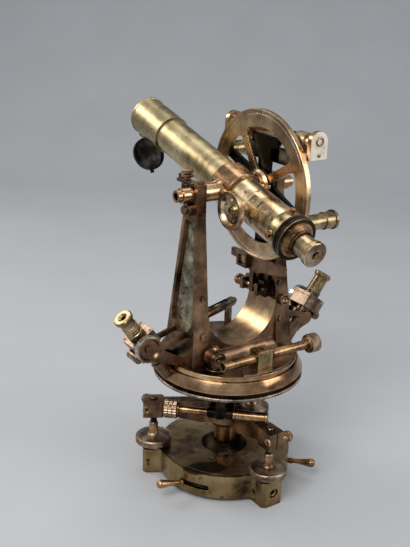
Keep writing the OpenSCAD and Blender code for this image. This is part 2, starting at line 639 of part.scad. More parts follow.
// Four capstan screws that centre the reticle
module reticle_screws() color(bronze) sight() for (a = [0 : 90 : 270]) rotate([0, a, 0]) difference() {
    translate([0, -rear_l + 6, tube_r - 0.8]) {
        cylinder(r1 = 4.7, r2 = 4, h = 2.2);
        cylinder(r = 2.6, h = 5.6);
    }
    rod_y(tube_r + 0.02, -rear_l - 2, 20);
    translate([0, -rear_l + 6, tube_r + 3.1]) rod_x(0.7, -4, 8);
}
module eyepiece() color(brass) about_sight([[8.2, -rear_l - 2], [8.2, -collar_end - eye_l],
    [2.4, -collar_end - eye_l], [2.4, -collar_end - eye_l - 4], [4, -collar_end - eye_l - 6.4],
    [11, -collar_end - eye_l - 6.4], [12, -collar_end - eye_l - 5.6], [12, -collar_end - eye_l - 1],
    [11.4, -collar_end - eye_l], [eye_r, -collar_end - eye_l], [eye_r, -rear_l - 2]]);

// Focusing: a dished wheel whose pinion drives a carriage inside the tube

module focus_wheel() color(brass) sight() translate([0, -focus_s, 0]) difference() {
    union() {
        about_x0([[0, -16.9], [3, -16.9], [3, -tube_r - 3.6], [5, -tube_r - 3.6], [5, -24], [12, -25],
            [focus_r - 2, -27], [focus_r, -27.6], [focus_r, -31.4], [focus_r - 0.6, -32],
            [focus_r - 1.8, -32], [focus_r - 3, -30.5], [12.6, -28], [6, -26.4], [4, -26.4], [4, -29],
            [0, -29.6]]);
    }
    for (a = [0 : 60 : 300]) rotate([a, 0, 0]) translate([0, 9.6, 0]) rod_x(1.7, -30, 8);
}
// The same as about_x, its points given from the outside inward
module about_x0(points) rotate([0, 90, 0]) rotate_extrude() polygon(points);
module focus_carriage() color(brass) {
    about_sight([[12.5, -74], [tube_in - gap, -74], [tube_in - gap, -68], [14.2, -67], [14.2, -31],
        [tube_in - gap, -30], [tube_in - gap, -24], [12.5, -24]]);
}

// Vertical circle with four spokes

module vertical_circle() color(bronze) translate([0, 0, axis_z]) {
    difference() {
        about_x([[vc_in, vc_x + 1], [vc_r - 3.4, vc_x + 1], [vc_r - 3, vc_x + 0.4], [vc_r - 2.4, vc_x + 0.4],
            [vc_r - 2, vc_x], [vc_r - 0.4, vc_x], [vc_r, vc_x + 0.4], [vc_r, vc_x + vc_t - 0.4],
            [vc_r - 0.4, vc_x + vc_t], [vc_in + 3, vc_x + vc_t], [vc_in, vc_x + vc_t - 1.5]]);
        about_x([[vc_r - 5.2, vc_x + 0.5], [vc_r - 4.4, vc_x + 0.5], [vc_r - 4.4, vc_x + 1.5],
            [vc_r - 5.2, vc_x + 1.5]]);
    }
    about_x([[axis_r + 0.02, vc_x - 1.4], [13, vc_x - 1.4], [15.5, vc_x + 1], [15.5, vc_x + vc_t - 1],
        [12.5, vc_x + vc_t], [axis_r + 0.02, vc_x + vc_t]]);
    for (a = [45 : 90 : 315]) rotate([a + sight_tilt, 0, 0]) difference() {
        translate([vc_x + 1.2, 13, 0]) plate_yz(0, vc_t - 2.4)
            polygon([[0, -spoke_w / 2 - 1], [0, spoke_w / 2 + 1], [6, spoke_w / 2], [vc_in - 19, spoke_w / 2],
                     [vc_in - 12, spoke_w / 2 + 3], [vc_in - 12, -spoke_w / 2 - 3], [vc_in - 19, -spoke_w / 2],
                     [6, -spoke_w / 2]]);
    }
}

// Index arm: ring on the axis, upright with saddle, cross bar, tail and two inclined arms

module index_arm() color(bronze) difference() {
    union() {
        translate([0, 0, axis_z]) rod_x(16, index_x, arm_t);
        plate_yz(index_x, arm_t) union() {
            polygon([[-7, axis_z], [7, axis_z], [10, level_z - level_r - 4], [20, level_z - level_r],
                     [20, level_z], [-20, level_z], [-20, level_z - level_r], [-10, level_z - level_r - 4]]);
            polygon([[-7, axis_z], [7, axis_z], [8, axis_z - 68], [16, axis_z - 74], [46, axis_z - 76],
                     [46, axis_z - 84], [22, axis_z - 85], [tail_y + 3, axis_z - 92], [tail_y + 2.5, tail_z - 6],
                     [tail_y - 2.5, tail_z - 6], [tail_y - 3, axis_z - 92], [-8, axis_z - 88],
                     [-40, axis_z - 82], [-40, axis_z - 74], [-14, axis_z - 72], [-8, axis_z - 66]]);
            translate([0, axis_z]) for (s = [0, 180]) rotate(micro_tilt + s)
                polygon([[0, -6.5], [54, -4.5], [74, -4.5], [74, 4.5], [54, 4.5], [0, 6.5]]);
        }
        // framed window of the cross bar
        translate([0, 22, axis_z - 82]) plate_yz(index_x - 5, 6) difference() {
            translate([-8, -7]) square([16, 15]);
            translate([-5.5, -4.5]) square([11, 10]);
        }
    }
    translate([0, 0, axis_z]) rod_x(axis_r + run_fit, index_x - 8, 30);
    translate([level_x, 0, level_z]) rod_y(level_r + 0.02, -30, 60);
}
// Altitude level: a tube along Y with an open top, saddles and two end plates
module altitude_level() color(silver) translate([level_x, 0, level_z]) difference() {
    union() {
        rod_y(level_r, -level_half, 2 * level_half);
        for (s = [-1, 1]) translate([mirror_x - level_x - 2.2, s * 33.5 - 2, mirror_z - level_z - 2.2])
            cube([4.4, 4, 8]);
        for (s = [-1, 1]) {
            translate([0, s * (level_half - 15), 0]) rod_y(level_r + 1.6, -7, 14);
            plate_xz(s * (level_half + 2.4) - 2.4, 4.8) difference() {
                union() {
                    translate([0, 3]) circle(10);
                    translate([-10, -13]) square([20, 16]);
                }
                translate([0, 4]) circle(3);
            }
        }
    }
    rod_y(level_r - 1.4, -level_half - e, 2 * level_half + 2 * e);
    translate([-4.5, -level_half + 24, 0]) cube([9, 2 * level_half - 48, 20]);
    translate([mirror_x - level_x, 0, mirror_z - level_z]) rod_y(1.4 + run_fit, -40, 80);
}
module altitude_vial() color(glass) translate([level_x, 0, level_z])
    rod_y(level_r - 1.7, -level_half + 2, 2 * level_half - 4);
// Mirror that hangs from a rod under the level
mirror_x = index_x + arm_t + 2.2;
mirror_z = level_z - level_r - 3.2;
module level_mirror() color(glass) translate([mirror_x, 0, mirror_z]) {
    rod_y(1.4, -35.5, 71);
    translate([-0.8, -30, -14.2]) cube([1.6, 60, 13.5]);
}
// Microscope that reads the vertical circle, on the end of an inclined arm
module circle_scope() color(brass) {
    d = vc_r - 6.5;
    translate([index_x, 0, 0]) difference() {
        union() {
            translate([arm_t, d, 0]) rod_x(7.4, 0, 20);
            translate([arm_t + 20, d, 0]) rod_x(8.2, 0, 11);
            translate([arm_t + 31, d, 0]) about_x([[0, 0], [9.3, 0], [9.3, 2.2], [8.4, 3.2], [0, 3.2]]);
        }
        translate([arm_t + 31, d, 0]) rod_x(2.4, 0, 8);
    }
}
module circle_scope_front() translate([0, 0, axis_z]) rotate([180 + micro_tilt, 0, 0]) circle_scope();
module circle_scope_back() translate([0, 0, axis_z]) rotate([micro_tilt, 0, 0]) circle_scope();
// Fork on the right upright whose two screws hold the index arm's tail
fork_x = index_x + arm_t + 0.5;
module clip_fork() color(bronze) difference() {
    union() {
        translate([fork_x, tail_y - 15, tail_z - 8]) cube([inner_x - fork_x, 30, 16]);
        for (s = [-1, 1]) translate([index_x - 3, tail_y + s * 12 - 2.5, tail_z - 6])
            cube([inner_x - index_x + 3, 5, 12]);
    }
    translate([index_x + arm_t / 2, tail_y, tail_z]) rod_y(2.4 + run_fit, -20, 40);
}
module clip_screw() {
    rod_y(2.4, 2.5 + gap, 16);
    rod_y(3.4, 16.4, 2.4);
    translate([0, 18.4, 0]) rotate([-90, 0, 0]) knob(inner_x - index_x - arm_t / 2 - 2 * gap, 6);
}
module clip_screw_back() color(bronze) translate([index_x + arm_t / 2, tail_y, tail_z]) clip_screw();
module clip_screw_front() color(black) translate([index_x + arm_t / 2, tail_y, tail_z])
    rotate(180) clip_screw();

// Micrometer microscopes for the horizontal circle; the left one is drawn, the right one is turned round

// Frame at the point read on the circle, +Z up the microscope's tube
module scope_frame() translate([-read_r, 0, circle_top + 0.6]) rotate([0, -scope_tilt, 0]) children();
box_t = 15;                                 // micrometer box along the tube
box_w = 11;                                 // its half width
drum_at = [-2.8, scope_l + 7.5];            // micrometer screw's place in that frame
module scope() color(brass) scope_frame() {
    difference() {
        union() {
            translate([0, 0, 6]) cylinder(r = scope_r, h = scope_l - 6);
            translate([0, 0, scope_l - 25]) cylinder(r = scope_r + 1.2, h = 3);
            translate([0, 0, scope_l + box_t]) cylinder(r = 8, h = 3);
            translate([-12, -box_w, scope_l]) cube([25, 2 * box_w, box_t]);
            translate([-14.5, 0, scope_l - 1]) rod_y(4.4, -8, 16);
        }
        translate([0, 0, -8]) cylinder(r = scope_r - 1.5, h = scope_l + 6);
        translate([0, 0, scope_l - 4]) cylinder(r = 5, h = 40);
    }
    translate([drum_at[0], 0, drum_at[1]]) rod_y(5, -box_w - 2, 2.1);
}
// Micrometer drum: graduated rim, dished face and finger boss
module micro_drum() color(silver) scope_frame()
    translate([drum_at[0], -box_w - 2 - gap, drum_at[1]]) rotate([90, 0, 0]) rotate_extrude() polygon([
        [0, 0], [micro_drum_r - 1.5, 0], [micro_drum_r, 1.5], [micro_drum_r, 7], [micro_drum_r - 1.2, 7.6],
        [micro_drum_r - 2.2, 7.6], [micro_drum_r - 4, 5], [4, 4.4], [3.4, 6.6], [0, 7]]);
// Eyepiece of a microscope, a push fit in the box's collar
module ocular() color(brass) scope_frame() translate([0, 0, scope_l + box_t + 3 + gap]) difference() {
    union() {
        rotate_extrude() polygon([[0, 0], [8.2, 0], [8.2, 2], [7.3, 2.6], [7.3, 17], [8, 18], [9.2, 19.4],
            [9.2, 22], [8.2, 23], [0, 23]]);
        translate([0, 0, -10]) cylinder(r = 5 - run_fit, h = 11);
    }
    translate([0, 0, -11]) cylinder(r = 3.4, h = 27);
    translate([0, 0, 15]) cylinder(r = 2.2, h = 10);
    translate([0, 0, 21.6]) cylinder(r1 = 2.2, r2 = 5, h = 1.5);
}
// Bracket: two V shaped side plates from the upright to a ring round the tube
ring_d = scope_l - 9;                       // middle of the ring along the tube
ring_x = -read_r - ring_d * sin(scope_tilt);
ring_z = circle_top + 0.6 + ring_d * cos(scope_tilt);
module bracket() color(bronze) difference() {
    union() {
        scope_frame() translate([0, 0, ring_d - 4.5]) turned_ring(scope_r + 3, scope_r + 0.02, 9);
        scope_frame() translate([-scope_r - 6, -2.5, ring_d - 3.5]) cube([5, 5, 7]);
        for (y = [-scope_r - 4.5, scope_r + 1.5]) plate_xz(y, 3) {
            translate([ring_x, ring_z]) circle(7);
            polygon([[ring_x, ring_z - 3], [ring_x + 1, ring_z + 6.6], [outer_x(ring_z + 16), ring_z + 16],
                     [outer_x(ring_z + 10.5), ring_z + 10.5], [ring_x + 8, ring_z + 3]]);
            polygon([[ring_x - 3, ring_z + 2], [ring_x + 6, ring_z + 4], [outer_x(deck_z + 6), deck_z + 6],
                     [outer_x(deck_z), deck_z], [outer_x(deck_z) - 5, deck_z], [ring_x - 1, ring_z - 6.9]]);
        }
    }
    scope_frame() cylinder(r = scope_r + 0.02, h = 90);
    scope_frame() translate([-40, -20, scope_l + 0.02]) cube([80, 40, 60]);
}
// x of the left upright's outer face at height z
function outer_x(z) = -inner_x - foot_w + (foot_w - bearing_w) * (z - deck_z) / (axis_z - 21 - deck_z);
module bracket_left() bracket();
module bracket_right() rotate(180) bracket();
module scope_left() scope();
module scope_right() rotate(180) scope();
module drum_left() micro_drum();
module drum_right() rotate(180) micro_drum();
module ocular_left() ocular();
module ocular_right() rotate(180) ocular();

// Plate level on two posts behind the trough

module plate_level_frame() translate([10, 36, deck_z + 27.5]) rotate(20) children();
module plate_level() color(silver) plate_level_frame() {
    difference() {
        rod_x(5.2, -27, 54);
        rod_x(4, -24, 48);
        translate([-17, -3, 0]) cube([34, 6, 10]);
    }
    for (s = [-1, 1]) translate([s * 21, 0, 0]) {
        difference() {
            translate([-2.5, -3, -27.5]) cube([5, 6, 25]);
            rod_x(5.1, -4, 8);
        }
    }
    translate([27, 0, 0]) rod_x(3.2, 0, 5);
}
module plate_vial() color(glass) plate_level_frame() rod_x(3.7, -23.5, 47);

// Upper clamp: a drum lying along Y on a round foot

module upper_clamp() color(bronze) translate([clamp_x, 0, 0]) {
    difference() {
        union() {
            translate([0, -36, deck_z]) turned_ring(9, 0, 3);
            translate([0, -36, deck_z]) cylinder(r = 6, h = upper_z - deck_z);
            translate([0, 0, upper_z]) rod_y(8, -42, 14);
            translate([0, 0, upper_z]) rod_y(6, -43, 2);
        }
        translate([0, -36, upper_z]) cylinder(r = 1.8, h = 12);
    }
}
module upper_clamp_screw() color(brass) translate([clamp_x, -36, upper_z]) {
    translate([0, 0, 1]) cylinder(r = 1.75, h = 9);
    translate([0, 0, 8 + gap]) knob(3.8, 4);
}
// Upper slow motion: an open tube, a square block with its nut, and the screw's sleeve
module upper_tangent_block() color(brass) translate([0, upper_y, upper_z]) difference() {
    union() {
        rod_x(5, -45, 37);
        translate([-8.5, -7, deck_z - upper_z]) cube([17, 14, upper_z - deck_z + 8]);
        rod_x(6, 8.5, 3.4);
        rod_x(4.4, 11.9, 40);
    }
    rod_x(4, -46, 36);
    rod_x(2.5 + run_fit, -12, 66);
    translate([0, 0, 5]) cylinder(r = 2, h = 8);
}
module upper_tangent_screw() color(brass) translate([0, upper_y, upper_z]) {
    rod_x(2.5, -30, 84);
    translate([51.9 + gap, 0, 0]) rod_x(3.4, 0, 4);
    translate([56, 0, 0]) rotate([0, 90, 0]) knob(9, 13);
}

foot_plate();
locking_ring();
lever_handles();
footscrew_front();
footscrew_left();
footscrew_right();
tribrach();
tribrach_clamps();
socket_drum();
lower_clamp_ring();
lower_clamp_screw();
lower_yoke();
lower_tangent_screw();
lower_spring_box();
horizontal_circle();
alidade_plate();
cover_plate();
standards();
standard_screws();
cap_left();
cap_right();
cap_screw_left();
cap_screw_right();
transit_axis();
front_tube();
rear_tube();
dew_cap();
dust_cap();
objective_lens();
reticle_ring();
reticle_screws();
eyepiece();
focus_wheel();
focus_carriage();
vertical_circle();
index_arm();
altitude_level();
altitude_vial();
level_mirror();
circle_scope_front();
circle_scope_back();
clip_fork();
clip_screw_front();
clip_screw_back();
bracket_left();
scope_left();
drum_left();
ocular_left();
bracket_right();
scope_right();
drum_right();
ocular_right();
plate_level();
plate_vial();
upper_clamp();
upper_clamp_screw();
upper_tangent_block();
upper_tangent_screw();
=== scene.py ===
import math

import bmesh
import bpy
import numpy as np
from bpy.props import FloatProperty, FloatVectorProperty, IntProperty, PointerProperty
from mathutils import Matrix, Vector


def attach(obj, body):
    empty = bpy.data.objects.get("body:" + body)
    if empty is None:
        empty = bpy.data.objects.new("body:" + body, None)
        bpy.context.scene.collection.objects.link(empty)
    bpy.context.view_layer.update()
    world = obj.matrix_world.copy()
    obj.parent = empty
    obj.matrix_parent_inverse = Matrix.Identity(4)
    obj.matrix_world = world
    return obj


bl_info = {
    "name": "Micrometer theodolite",
    "version": (1, 0, 0),
    "blender": (4, 2, 0),
    "location": "3D View > Sidebar > Theodolite",
    "description": "Finishes, knurling, threads, divisions, levels and stage for a bronze theodolite",
    "category": "Object",
}

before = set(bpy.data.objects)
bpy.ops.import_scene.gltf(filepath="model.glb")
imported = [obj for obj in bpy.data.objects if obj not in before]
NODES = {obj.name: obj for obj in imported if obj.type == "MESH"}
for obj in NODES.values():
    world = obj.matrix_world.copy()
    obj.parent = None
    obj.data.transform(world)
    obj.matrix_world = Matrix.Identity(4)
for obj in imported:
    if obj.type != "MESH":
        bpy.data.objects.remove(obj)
MM = 0.001


# Places on the instrument, in millimetres and degrees, as the CAD source has them

AXIS_Z = 301.0
SIGHT_TILT = 15.0
LUG_AZ = -132.8
SCOPE_TILT = 36.5
READ_POINT = (-64.5, 0.0, 118.0)
FOOT_R = 74.0
FOOT_ANGLES = {"front": -90.0, "left": 150.0, "right": 30.0}
LEVEL_X, LEVEL_Z, LEVEL_HALF = 42.5, 349.5, 65.78
LEVER_AZ, LEVER_R, LEVER_SWEEP, LEVER_DROP = -162.0, 70.5, -22.0, 78.0
LOBE_Z = 14.0
BLOCK_R, BLOCK_Z, BLOCK_HALF, BLOCK_TOP = 81.2, 71.0, 8.5, 80.0
CAP_X, CAP_SCREW_Y, CAP_HINGE_Y, CAP_LUG_Y = 45.25, 12.8, -9.3, 22.5
DECK_Z, UPRIGHT_TOP = 137.1, 280.0
TROUGH_R, TROUGH_Z, TROUGH_HALF = 39.95, 189.0, 21.9
DRUM_AT = (-2.8, -13.3, 61.5)


def moved(x=0.0, y=0.0, z=0.0):
    return Matrix.Translation((x, y, z))


def turned(degrees, axis):
    return Matrix.Rotation(math.radians(degrees), 4, axis)


# Frames whose +Z is the turning axis of what is made in them
SIGHT = moved(0, 0, AXIS_Z) @ turned(SIGHT_TILT, "X") @ turned(-90, "X")
CROSS = moved(0, 0, AXIS_Z) @ turned(90, "Y")
LUG = turned(LUG_AZ, "Z")
SCOPE_LEFT = moved(*READ_POINT) @ turned(-SCOPE_TILT, "Y")
SCOPE_RIGHT = turned(180, "Z") @ SCOPE_LEFT
SCOPES = {"left": SCOPE_LEFT, "right": SCOPE_RIGHT}
PLATE_LEVEL = moved(10, 36, 164.6) @ turned(20, "Z")
LOWER_SCREW = LUG @ moved(44, -4.8, 86) @ turned(90, "X")
LOWER_SPRING = LUG @ moved(44, 4.8, 86) @ turned(-90, "X")
LOWER_CLAMP = LUG @ moved(-25.5, 0, 103.25) @ turned(-90, "X")
UPPER_BLOCK = moved(0, -53.5, 148.6)
UPPER_SCREW = UPPER_BLOCK @ turned(90, "Y")
UPPER_CLAMP = moved(-41, -43, 148.6) @ turned(90, "X")
CLIP_BACK = moved(34.5, 10.5, 194) @ turned(-90, "X")
FOCUS = SIGHT @ moved(0, 0, -36) @ turned(90, "Y")


def linear(hex_colour):
    """sRGB hex text to linear RGB: below 0.04045 it is divided by 12.92, above it is ((c + 0.055) / 1.055) ** 2.4."""
    c = np.array([int(hex_colour[i:i + 2], 16) for i in (1, 3, 5)]) / 255.0
    c = np.where(c <= 0.04045, c / 12.92, ((c + 0.055) / 1.055) ** 2.4)
    return [float(v) for v in c]


# Surfaces


def revolved(profile, count=96, relief=None):
    """A profile of (radius, height) turned round Z: x = r cos t, y = r sin t, z = h, on a grid of t and profile place.
    relief(t, h) gives millimetres that are added to the radius."""
    p = np.asarray(profile, float)
    t = np.radians(np.arange(count) * 360.0 / count)[:, None]
    r, h = np.broadcast_to(p[:, 0], (count, len(p))), np.broadcast_to(p[:, 1], (count, len(p)))
    if relief is not None:
        r = r + relief(t, h)
    return np.stack([r * np.cos(t), r * np.sin(t), h + 0 * t], -1), True


def slab(x, y, z):
    """A box between two x, two y and two z values, as a ring of its four long edges along x."""
    (x0, x1), (y0, y1), (z0, z1) = x, y, z
    ring = np.array([(y0, z0), (y1, z0), (y1, z1), (y0, z1)], float)
    ends = np.array([x0, x1], float)
    pts = np.empty((4, 2, 3))
    pts[..., 0] = ends[None]
    pts[..., 1] = ring[:, None, 0]
    pts[..., 2] = ring[:, None, 1]
    return pts, True


def knurl(pitch, depth, radius):
    """Crossed diagonal grooves: depth times the lower of two triangle waves, one leaning each way, over the band's
    arc length r t and height h."""
    def relief(t, h):
        n = round(2 * math.pi * radius / pitch)
        k = 2 * math.pi / pitch
        a = np.abs(((n * t + k * h) / (2 * math.pi)) % 1 - 0.5) * 2
        b = np.abs(((n * t - k * h) / (2 * math.pi)) % 1 - 0.5) * 2
        return depth * np.minimum(a, b)
    return relief


def milled(count, depth):
    """Straight grooves along the axis: depth times the absolute sine of half the groove's angle."""
    return lambda t, h: depth * np.abs(np.sin(count * t / 2)) + 0 * h


def saddle(r0, r1, s, phi, count=16):
    """A patch of a tube wall between two radii, two places along the axis and two angles, as a closed ring of four
    edges carried round the axis: x = r cos phi, y = r sin phi, z = s."""
    t = np.radians(np.linspace(phi[0], phi[1], count))
    ring = ((r0, s[0]), (r1, s[0]), (r1, s[1]), (r0, s[1]))
    pts = np.empty((4, count, 3))
    for k, (r, z) in enumerate(ring):
        pts[k, :, 0], pts[k, :, 1], pts[k, :, 2] = r * np.cos(t), r * np.sin(t), z
    return pts, True


def faceplate(outline, centre, hole, thick):
    """A flat plate in XY from a round hole to an outline: each outline point p has its partner on the hole at
    centre + hole (p - centre) / |p - centre|, and both run from z = 0 to z = thick."""
    p = np.asarray(outline, float)
    c = np.asarray(centre, float)
    q = c + hole * (p - c) / np.linalg.norm(p - c, axis=1, keepdims=True)
    pts = np.zeros((len(p), 5, 3))
    for k, (edge, z) in enumerate(((q, 0), (q, thick), (p, thick), (p, 0), (q, 0))):
        pts[:, k, :2] = edge
        pts[:, k, 2] = z
    return pts, True


def lines_round(count, width, short, long, every=5):
    """Thin bars round Z, count of them, each width across. short and long are ((r, r), (z, z)) of a bar's radial
    section, and every n-th bar is long: a bar's points are turned by 360 k / count degrees."""
    made = []
    for k in range(count):
        t = 2 * math.pi * k / count
        turn = np.array([[math.cos(t), -math.sin(t), 0], [math.sin(t), math.cos(t), 0], [0, 0, 1]])
        radii, heights = short if k % every else long
        pts, ring = slab(radii, (-width / 2, width / 2), heights)
        made.append((pts @ turn.T, ring))
    return made


def piece(name, grids, place, body, material, smooth=35.0, closed_ends=True):
    """One mesh of several grids, placed, riding on a CAD body. Quads join neighbouring grid points, the ends of a
    closed ring get a cap, doubles are merged and faces are turned outwards."""
    verts, faces, at = [], [], 0
    for pts, ring in grids if isinstance(grids, list) else [grids]:
        nu, nv = pts.shape[:2]
        u, v = np.meshgrid(np.arange(nu if ring else nu - 1), np.arange(nv - 1), indexing="ij")
        w = (u + 1) % nu
        quads = np.stack([u * nv + v, w * nv + v, w * nv + v + 1, u * nv + v + 1], -1).reshape(-1, 4) + at
        faces += quads.tolist()
        if ring and closed_ends:
            for end in (0, nv - 1):
                rim = pts[:, end]
                if np.ptp(rim, axis=0).max() > 1e-6:
                    faces.append([int(i) for i in np.arange(nu) * nv + end + at])
        verts.append(pts.reshape(-1, 3))
        at += nu * nv
    mesh = bpy.data.meshes.new(name)
    mesh.from_pydata((np.concatenate(verts)).tolist(), [], faces)
    mesh.transform(Matrix.Scale(MM, 4) @ place)
    bm = bmesh.new()
    bm.from_mesh(mesh)
    bmesh.ops.remove_doubles(bm, verts=bm.verts, dist=1e-7)
    bmesh.ops.recalc_face_normals(bm, faces=bm.faces)
    bm.to_mesh(mesh)
    bm.free()
    mesh.polygons.foreach_set("use_smooth", np.ones(len(mesh.polygons), bool))
    mesh.set_sharp_from_angle(angle=math.radians(smooth))
    obj = bpy.data.objects.new(name, mesh)
    bpy.context.scene.collection.objects.link(obj)
    obj.data.materials.append(bpy.data.materials[material])
    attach(obj, body)
    return obj


def screw_head(name, place, r, h, body, material, slot=25.0):
    """A cheese head whose slot, at slot degrees, is a black strip on its top: painted shade of the groove."""
    head = [(0, 0), (r, 0), (r, h * 0.7), (r * 0.86, h), (0, h)]
    piece(name, revolved(head, 28), place, body, material, closed_ends=False)
    # the slot is a black strip, not a groove: painted shade
    piece(name + "_slot", slab((-r * 0.9, r * 0.9), (-0.14 * r, 0.14 * r), (h - 0.05, h + 0.04)),
          place @ turned(slot, "Z"), body, "black wax and painted shade")


def knurled_head(name, place, body, r, z0, z1, material, pitch=1.3, depth=0.35, straight=False):
    """A thin knurled sleeve over a head's rim, closing onto the rim at both of its ends."""
    relief = milled(round(2 * math.pi * r / pitch), depth) if straight else knurl(pitch, depth, r)
    steps = max(4, int((z1 - z0) / pitch * 6))
    count = min(720, int(2 * math.pi * r / pitch) * (6 if not straight else 5))
    pts, ring = revolved([(r, z) for z in np.linspace(z0, z1, steps)], count, relief)
    inner, _ = revolved([(r - 0.6, z0), (r - 0.6, z1)], count)
    pts = np.concatenate([inner[:, :1], pts, inner[:, 1:], inner[:, :1]], 1)
    return piece(name, (pts, ring), place, body, material, closed_ends=False)


# Materials


def node(tree, kind, settings=None, links=None):
    """Adds a node, sets its properties and input values and links its inputs. A key that the node has as a property
    sets that, "stops" fills a colour ramp with (place, linear colour), and other keys are inputs' names or numbers."""
    made = tree.nodes.new(kind)
    for key, value in (settings or {}).items():
        if key == "stops":
            line = made.color_ramp.elements
            while len(line) < len(value):
                line.new(0.5)
            for k, (place, colour) in enumerate(value):
                line[k].position = place
                line[k].color = (*colour, 1.0)
        elif isinstance(key, str) and hasattr(made, key):
            setattr(made, key, value)
        else:
            made.inputs[key].default_value = value
    for key, output in (links or {}).items():
        tree.links.new(output, made.inputs[key])
    return made


def start(name):
    """A new material's tree, its shader and the object coordinates."""
    made = bpy.data.materials.new(name)
    made.use_nodes = True
    tree = made.node_tree
    tree.nodes.clear()
    coat = node(tree, "ShaderNodeBsdfPrincipled")
    node(tree, "ShaderNodeOutputMaterial", links={"Surface": coat.outputs[0]})
    return tree, coat, node(tree, "ShaderNodeTexCoord").outputs["Object"]


